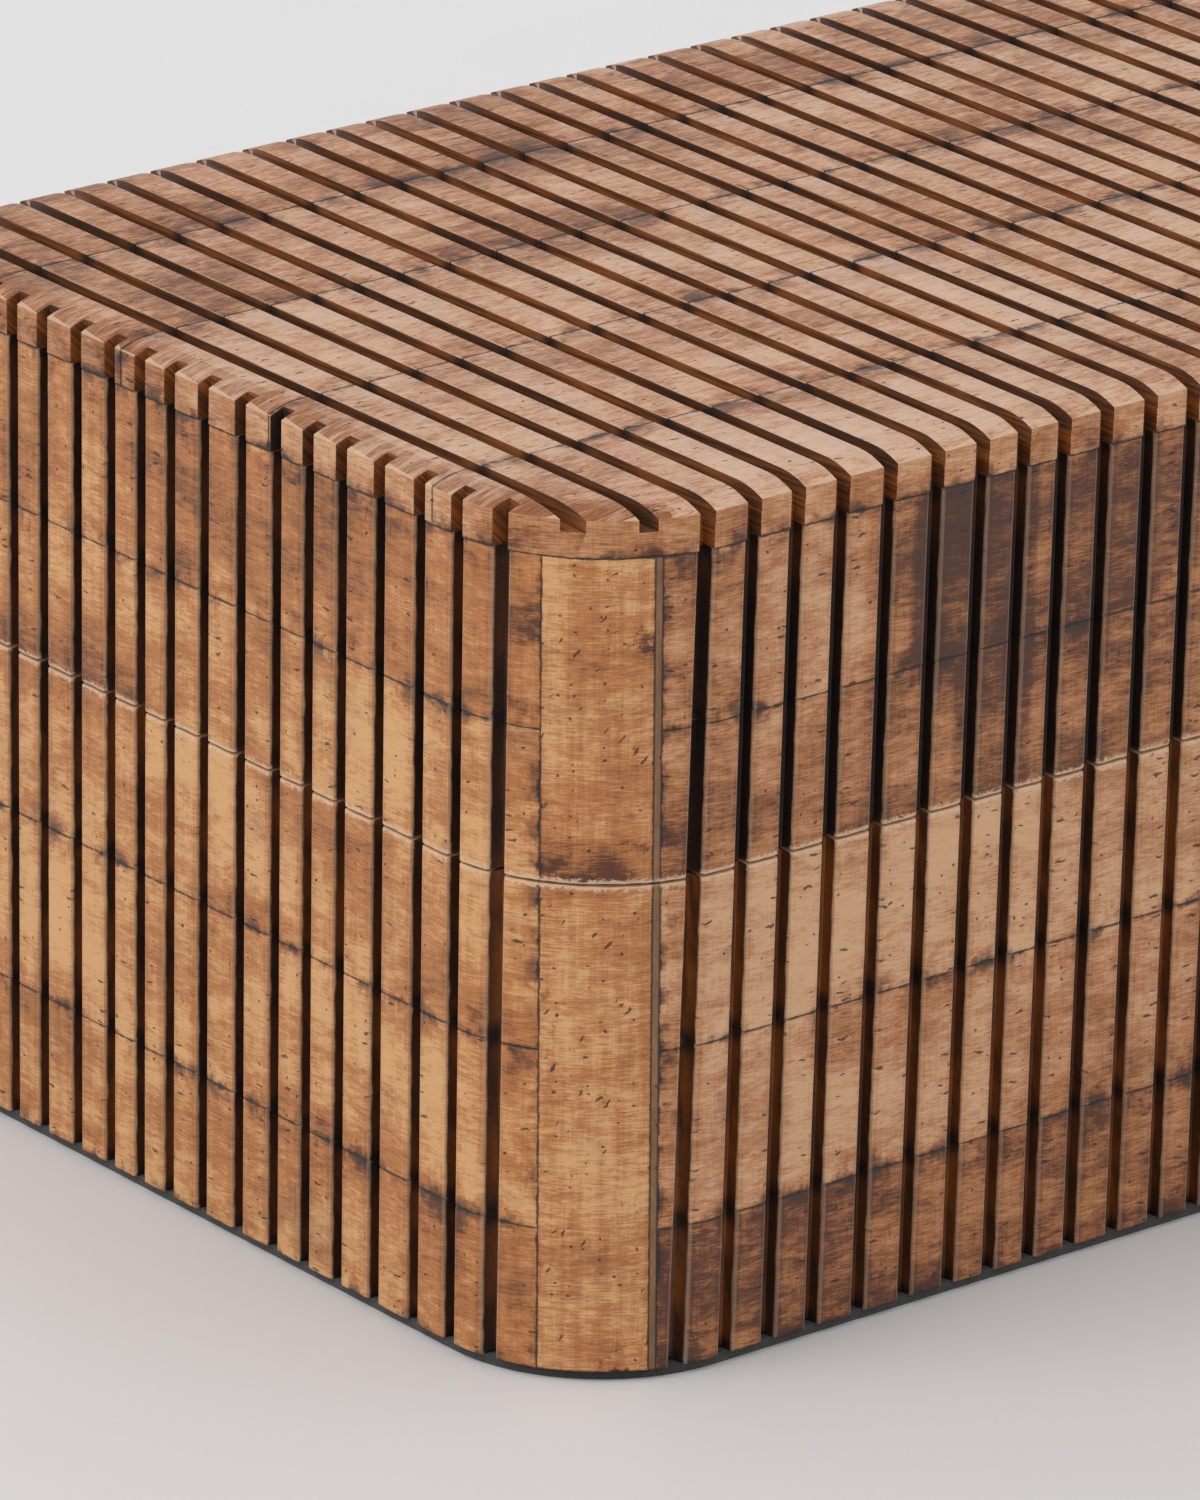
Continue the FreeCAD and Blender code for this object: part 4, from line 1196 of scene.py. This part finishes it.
def mark_top_faces(mesh, node):
    """Store on each face of a top strip how far it is cut, worn or lit by a painted highlight, wall or
    edge, its tone and smoke, and its grain map."""
    grain = mesh.uv_layers.new(name="grain")
    values = {name: [] for name in ("cut", "wear_and_glint", "wall", "tone", "smoke", "skin", "edge")}
    span = 2 * HALF_LENGTH
    for face in mesh.polygons:
        centre = face.center
        inside = inside_outline(centre)
        deep = below_skin(centre)
        side_wall = inside < 0.05 * MM
        in_cut = not side_wall and deep > CUT_SHALLOWEST and centre.z > TOP_JOINT + 0.05 * MM
        on_joint = min(abs(centre.y - joint) for joint in TOP_STRIP_JOINTS) < JOINT_HALF
        on_rim = inside < RIM_BAND and deep < RIM_BAND
        on_arris = ARRIS_DEPTHS[0] < deep <= ARRIS_DEPTHS[1] and inside > DOME_REACH and not on_joint
        values["cut"].append(min(1.0, 0.35 + deep / (3.6 * MM)) if in_cut else 0.0)
        # Pale rim and arrises: partly wear, partly a painted highlight.
        values["wear_and_glint"].append(0.8 if on_rim else 0.3 if on_arris else 0.0)
        values["wall"].append(1.0 if side_wall else 0.0)
        near_end = abs(centre.x) > HALF_LENGTH - BURNT_END and not side_wall
        values["edge"].append(max(0.0, 1.0 - inside / DOME_REACH) if near_end else 0.0)
        tone, smoke = tile_tone(node, (centre.x + HALF_LENGTH) / span)
        values["tone"].append(tone)
        values["smoke"].append(smoke)
        values["skin"].append(1.0)
        for loop in face.loop_indices:
            place = mesh.vertices[mesh.loops[loop].vertex_index].co
            level = abs(face.normal.z) > 0.5
            across = abs(face.normal.x) > abs(face.normal.y) and not level
            if in_cut:
                grain.data[loop].uv = (place.x + place.z, place.y)
            else:
                grain.data[loop].uv = (place.y if across else place.x, place.y if level else place.z)
    for name, numbers in values.items():
        mesh.attributes.new(name, "FLOAT", "FACE").data.foreach_set("value", numbers)


def top_strip(number):
    """One long strip of the top cladding."""
    node = f"lid_top_strip_{number}"
    obj = mesh_object(f"{node}_tiles", clean_copy(node))
    soften(obj, bpy.context.scene.box_cladding.soften)
    mark_top_faces(obj.data, node)
    obj.data.materials.clear()
    obj.data.materials.append(bone("top"))
    return place_on(smooth(obj), "lid", "browned_bone", node)


# Linings and underside


def felt_sheet_tree():
    """Finely divides a felt pad and lets its top rise and fall a little."""
    tree, given, result = new_group(
        "felt_sheet", "GeometryNodeTree",
        [("Geometry", "NodeSocketGeometry", None), ("Rise", FLOAT, 0.15 * MM), ("Seed", FLOAT, 0.0),
         ("Material", "NodeSocketMaterial", None)],
        [("Geometry", "NodeSocketGeometry")])
    place = add(tree, "GeometryNodeInputPosition").outputs[0]
    lumps = cloud(tree, place, 55.0, detail=3.0, seed=given["Seed"], kind="3D")
    normal = add(tree, "GeometryNodeInputNormal").outputs[0]
    rise = times(tree, minus(tree, lumps, 0.75), given["Rise"])
    moved = shifted(tree, given["Geometry"], vector_math(tree, "SCALE", normal, scale=rise))
    return end_tree(tree, moved, given["Material"], result)


def felt_pad(node, body, slot, material, rise):
    """Felt pad with soft edges, cut from the CAD pad's outline and finely divided."""
    bm = clean_copy(node)
    low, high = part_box(node)
    step = 4 * MM
    for axis, start, end in ((0, low.x, high.x), (1, low.y, high.y)):
        count = int((end - start) / step)
        normal = Vector.Fill(3, 0.0)
        normal[axis] = 1.0
        for index in range(1, count):
            bmesh.ops.bisect_plane(bm, geom=list(bm.verts) + list(bm.edges) + list(bm.faces),
                                   plane_co=normal * (start + (end - start) * index / count),
                                   plane_no=normal, dist=1e-7)
    obj = mesh_object(f"{node}_felt", bm)
    soften(obj, 0.35 * MM, 3)
    tree = bpy.data.node_groups.get("felt_sheet") or felt_sheet_tree()
    run_tree(obj, tree, {"Rise": rise, "Seed": float(len(node)), "Material": material})
    return place_on(smooth(obj), body, slot, node)


# Operators, one for each piece or group of like pieces


class PieceOperator:
    """Shared options of the operators below."""
    bl_options = {"REGISTER", "UNDO"}


class BOX_OT_base_cladding(PieceOperator, bpy.types.Operator):
    """Lay the grooved courses on the four faces of the base"""
    bl_idname = "box.base_cladding"
    bl_label = "Base courses"

    def execute(self, context):
        for face in FACES:
            for number in range(1, COURSES["base"] + 1):
                course("base", face, number)
        return {"FINISHED"}


class BOX_OT_lid_cladding(PieceOperator, bpy.types.Operator):
    """Lay the grooved courses on the four faces of the lid"""
    bl_idname = "box.lid_cladding"
    bl_label = "Lid courses"

    def execute(self, context):
        for face in FACES:
            for number in range(1, COURSES["lid"] + 1):
                course("lid", face, number)
        return {"FINISHED"}


class BOX_OT_corner_tiles(PieceOperator, bpy.types.Operator):
    """Lay the plain curved tiles and their filler strips on the corners"""
    bl_idname = "box.corner_tiles"
    bl_label = "Corner tiles"

    def execute(self, context):
        for part in COURSES:
            for corner in CORNERS:
                corner_tile(part, corner)
            corner_strips(part)
        return {"FINISHED"}


class BOX_OT_top_strips(PieceOperator, bpy.types.Operator):
    """Lay the long strips on the top of the lid"""
    bl_idname = "box.top_strips"
    bl_label = "Top strips"

    def execute(self, context):
        for number in range(1, TOP_STRIPS + 1):
            top_strip(number)
        return {"FINISHED"}


class BOX_OT_carcass(PieceOperator, bpy.types.Operator):
    """Stain the boards and corner blocks of the carcass"""
    bl_idname = "box.carcass"
    bl_label = "Carcass"

    def execute(self, context):
        for name, obj in frame["nodes"].items():
            if any(word in name for word in ("wall", "floor", "board", "blocks")):
                along = 2 if "blocks" in name else 1 if name.endswith(("left", "right")) else 0
                paint(obj, wood(along))
        return {"FINISHED"}


class BOX_OT_hinges(PieceOperator, bpy.types.Operator):
    """Finish the hinge leaves, pins and screws in brass"""
    bl_idname = "box.hinges"
    bl_label = "Hinges"

    def execute(self, context):
        for name, obj in frame["nodes"].items():
            if name.startswith("hinge"):
                paint(obj, brass())
        return {"FINISHED"}


class BOX_OT_felt(PieceOperator, bpy.types.Operator):
    """Lay the felt linings and the dark felt under the base"""
    bl_idname = "box.felt"
    bl_label = "Felt"

    def execute(self, context):
        finish = context.scene.box_finish
        lining = felt_material("lining_felt", tuple(finish.felt), 1.0)
        dark = felt_material("dark_felt", tint(34, 36, 34), 2.0)
        felt_pad("base_lining", "base", "lining_felt", lining, 0.3 * MM)
        felt_pad("lid_lining", "lid", "lining_felt", lining, 0.3 * MM)
        felt_pad("base_underside", "base", "dark_felt", dark, 0.02 * MM)
        return {"FINISHED"}


def paint(obj, material):
    """Give a CAD node's object another material in every slot that it has, or in a new slot if it has none.
    """
    if not obj.material_slots:
        obj.data.materials.append(material)
    for holder in obj.material_slots:
        holder.material = material


# Stage


LAMP_TARGET = Vector((0, 0, 0.05))
CAMERA_PLACE = Vector((-0.8761, -1.0189, 0.5391))
CAMERA_TURN = math.radians(38.36)
CAMERA_DIP = math.radians(20.82)
CAMERA_ROLL = math.radians(0.46)


def floor_material(colour):
    """Pale satin floor that fades a little lighter into the distance, as painted light."""
    far_colour = tuple(bpy.context.scene.box_stage.backdrop)
    material, tree, surface = new_material("pale_floor", {"Specular IOR Level": 0.35})
    vector = solid_vector(tree)
    grain = cloud(tree, vector, 0.02, detail=2.0)
    parts = add(tree, "ShaderNodeSeparateXYZ", {"Vector": vector})
    # Painted light: the floor paler the further it lies from the camera, palest up the backdrop.
    away = plus(tree, times(tree, parts.outputs[0], 0.4), parts.outputs[1])
    far_light = fade(tree, away, -200.0, 900.0)
    shade = blend(tree, far_light, colour, far_colour)
    shade = blend(tree, fade(tree, grain, 0.3, 0.7, 0.0, 0.04), shade, tint(190, 186, 184))
    finish_surface(tree, surface, shade, fade(tree, grain, 0.3, 0.7, 0.42, 0.48), grain, 0.01 * MM)
    return material


def sweep(material):
    """Floor that curves up into a backdrop behind the box."""
    bm = bmesh.new()
    turn = Matrix.Rotation(-CAMERA_TURN, 3, "Z")
    wide, near, far, bend, tall, steps = 3.0, -2.2, 2.6, 0.7, 3.0, 16
    section = [(near, 0.0), (far, 0.0)]
    for index in range(1, steps + 1):
        angle = math.pi / 2 * index / steps
        section.append((far + bend * math.sin(angle), bend * (1 - math.cos(angle))))
    section.append((far + bend, tall))
    rows = [[bm.verts.new(turn @ Vector((side * wide, away, up))) for side in (-1, 1)]
            for away, up in section]
    for low, high in zip(rows, rows[1:]):
        bm.faces.new((low[0], low[1], high[1], high[0]))
    obj = mesh_object("floor_sweep", bm)
    obj.data.materials.append(material)
    obj.data.shade_smooth()
    return obj


def lamp(name, power, size, place):
    """Large square lamp that faces the box."""
    light = bpy.data.lights.new(name, "AREA")
    light.energy = power
    light.size = size
    obj = bpy.data.objects.new(name, light)
    obj.location = place
    obj.rotation_euler = (LAMP_TARGET - Vector(place)).to_track_quat("-Z", "Y").to_euler()
    bpy.context.scene.collection.objects.link(obj)
    return obj


def camera(lens):
    """Camera at the photograph's viewing angle."""
    data = bpy.data.cameras.new("camera")
    data.lens = lens
    data.sensor_width = 36.0
    data.clip_start = 0.05
    data.clip_end = 50.0
    obj = bpy.data.objects.new("camera", data)
    forward = Vector((math.sin(CAMERA_TURN) * math.cos(CAMERA_DIP),
                      math.cos(CAMERA_TURN) * math.cos(CAMERA_DIP), -math.sin(CAMERA_DIP)))
    level = Vector((math.cos(CAMERA_TURN), -math.sin(CAMERA_TURN), 0))
    upright = level.cross(forward)
    right = level * math.cos(CAMERA_ROLL) + upright * math.sin(CAMERA_ROLL)
    up = upright * math.cos(CAMERA_ROLL) - level * math.sin(CAMERA_ROLL)
    turn = Matrix((right, up, -forward)).transposed().to_4x4()
    obj.matrix_world = Matrix.Translation(CAMERA_PLACE) @ turn
    bpy.context.scene.collection.objects.link(obj)
    bpy.context.scene.camera = obj


def sky(strength):
    """Even light from all round, near white where the camera or a gloss looks into it."""
    world = bpy.data.worlds.new("sky")
    bpy.context.scene.world = world
    world.use_nodes = True
    tree = world.node_tree
    path = add(tree, "ShaderNodeLightPath")
    seen = larger(tree, path.outputs["Is Camera Ray"],
                larger(tree, path.outputs["Is Glossy Ray"], path.outputs["Is Transmission Ray"]))
    power = fade(tree, seen, 0.0, 1.0, strength, 0.9, "LINEAR")
    background = tree.nodes["Background"]
    background.inputs["Color"].default_value = (1.0, 0.99, 0.98, 1.0)
    tree.links.new(power, background.inputs["Strength"])


class BOX_OT_stage(PieceOperator, bpy.types.Operator):
    """Set the floor, the lights and the camera"""
    bl_idname = "box.stage"
    bl_label = "Stage"

    def execute(self, context):
        settings = context.scene.box_stage
        sweep(floor_material(tuple(settings.floor)))
        lamp("key", settings.key_power, 1.2, (-1.3, 0.2, 1.5))
        lamp("fill", settings.fill_power, 1.0, (0.6, -1.6, 0.9))
        sky(settings.sky)
        camera(settings.lens)
        context.scene.view_settings.view_transform = "Standard"
        return {"FINISHED"}


OPERATORS = (BOX_OT_base_cladding, BOX_OT_lid_cladding, BOX_OT_corner_tiles, BOX_OT_top_strips,
             BOX_OT_carcass, BOX_OT_hinges, BOX_OT_felt, BOX_OT_stage)


class BOX_PT_sidebar(bpy.types.Panel):
    """Lists the pieces of the box"""
    bl_label = "Grooved tile box"
    bl_idname = "BOX_PT_sidebar"
    bl_space_type = "VIEW_3D"
    bl_region_type = "UI"
    bl_category = "Box"

    def draw(self, context):
        for operator in OPERATORS:
            self.layout.operator(operator.bl_idname)
        for group in (context.scene.box_cladding, context.scene.box_finish, context.scene.box_stage):
            for name in group.bl_rna.properties.keys():
                if name not in ("rna_type", "name"):
                    self.layout.prop(group, name)


SETTINGS = {"box_cladding": CladdingSettings, "box_finish": FinishSettings, "box_stage": StageSettings}


def register():
    for kind in (*SETTINGS.values(), *OPERATORS, BOX_PT_sidebar):
        bpy.utils.register_class(kind)
    for name, kind in SETTINGS.items():
        setattr(bpy.types.Scene, name, bpy.props.PointerProperty(type=kind))


def unregister():
    for name in SETTINGS:
        delattr(bpy.types.Scene, name)
    for kind in (BOX_PT_sidebar, *reversed(OPERATORS), *reversed(SETTINGS.values())):
        bpy.utils.unregister_class(kind)


def main():
    register()
    for operator in OPERATORS:
        getattr(bpy.ops.box, operator.bl_idname.split(".")[1])()


if __name__ == "__main__":
    main()
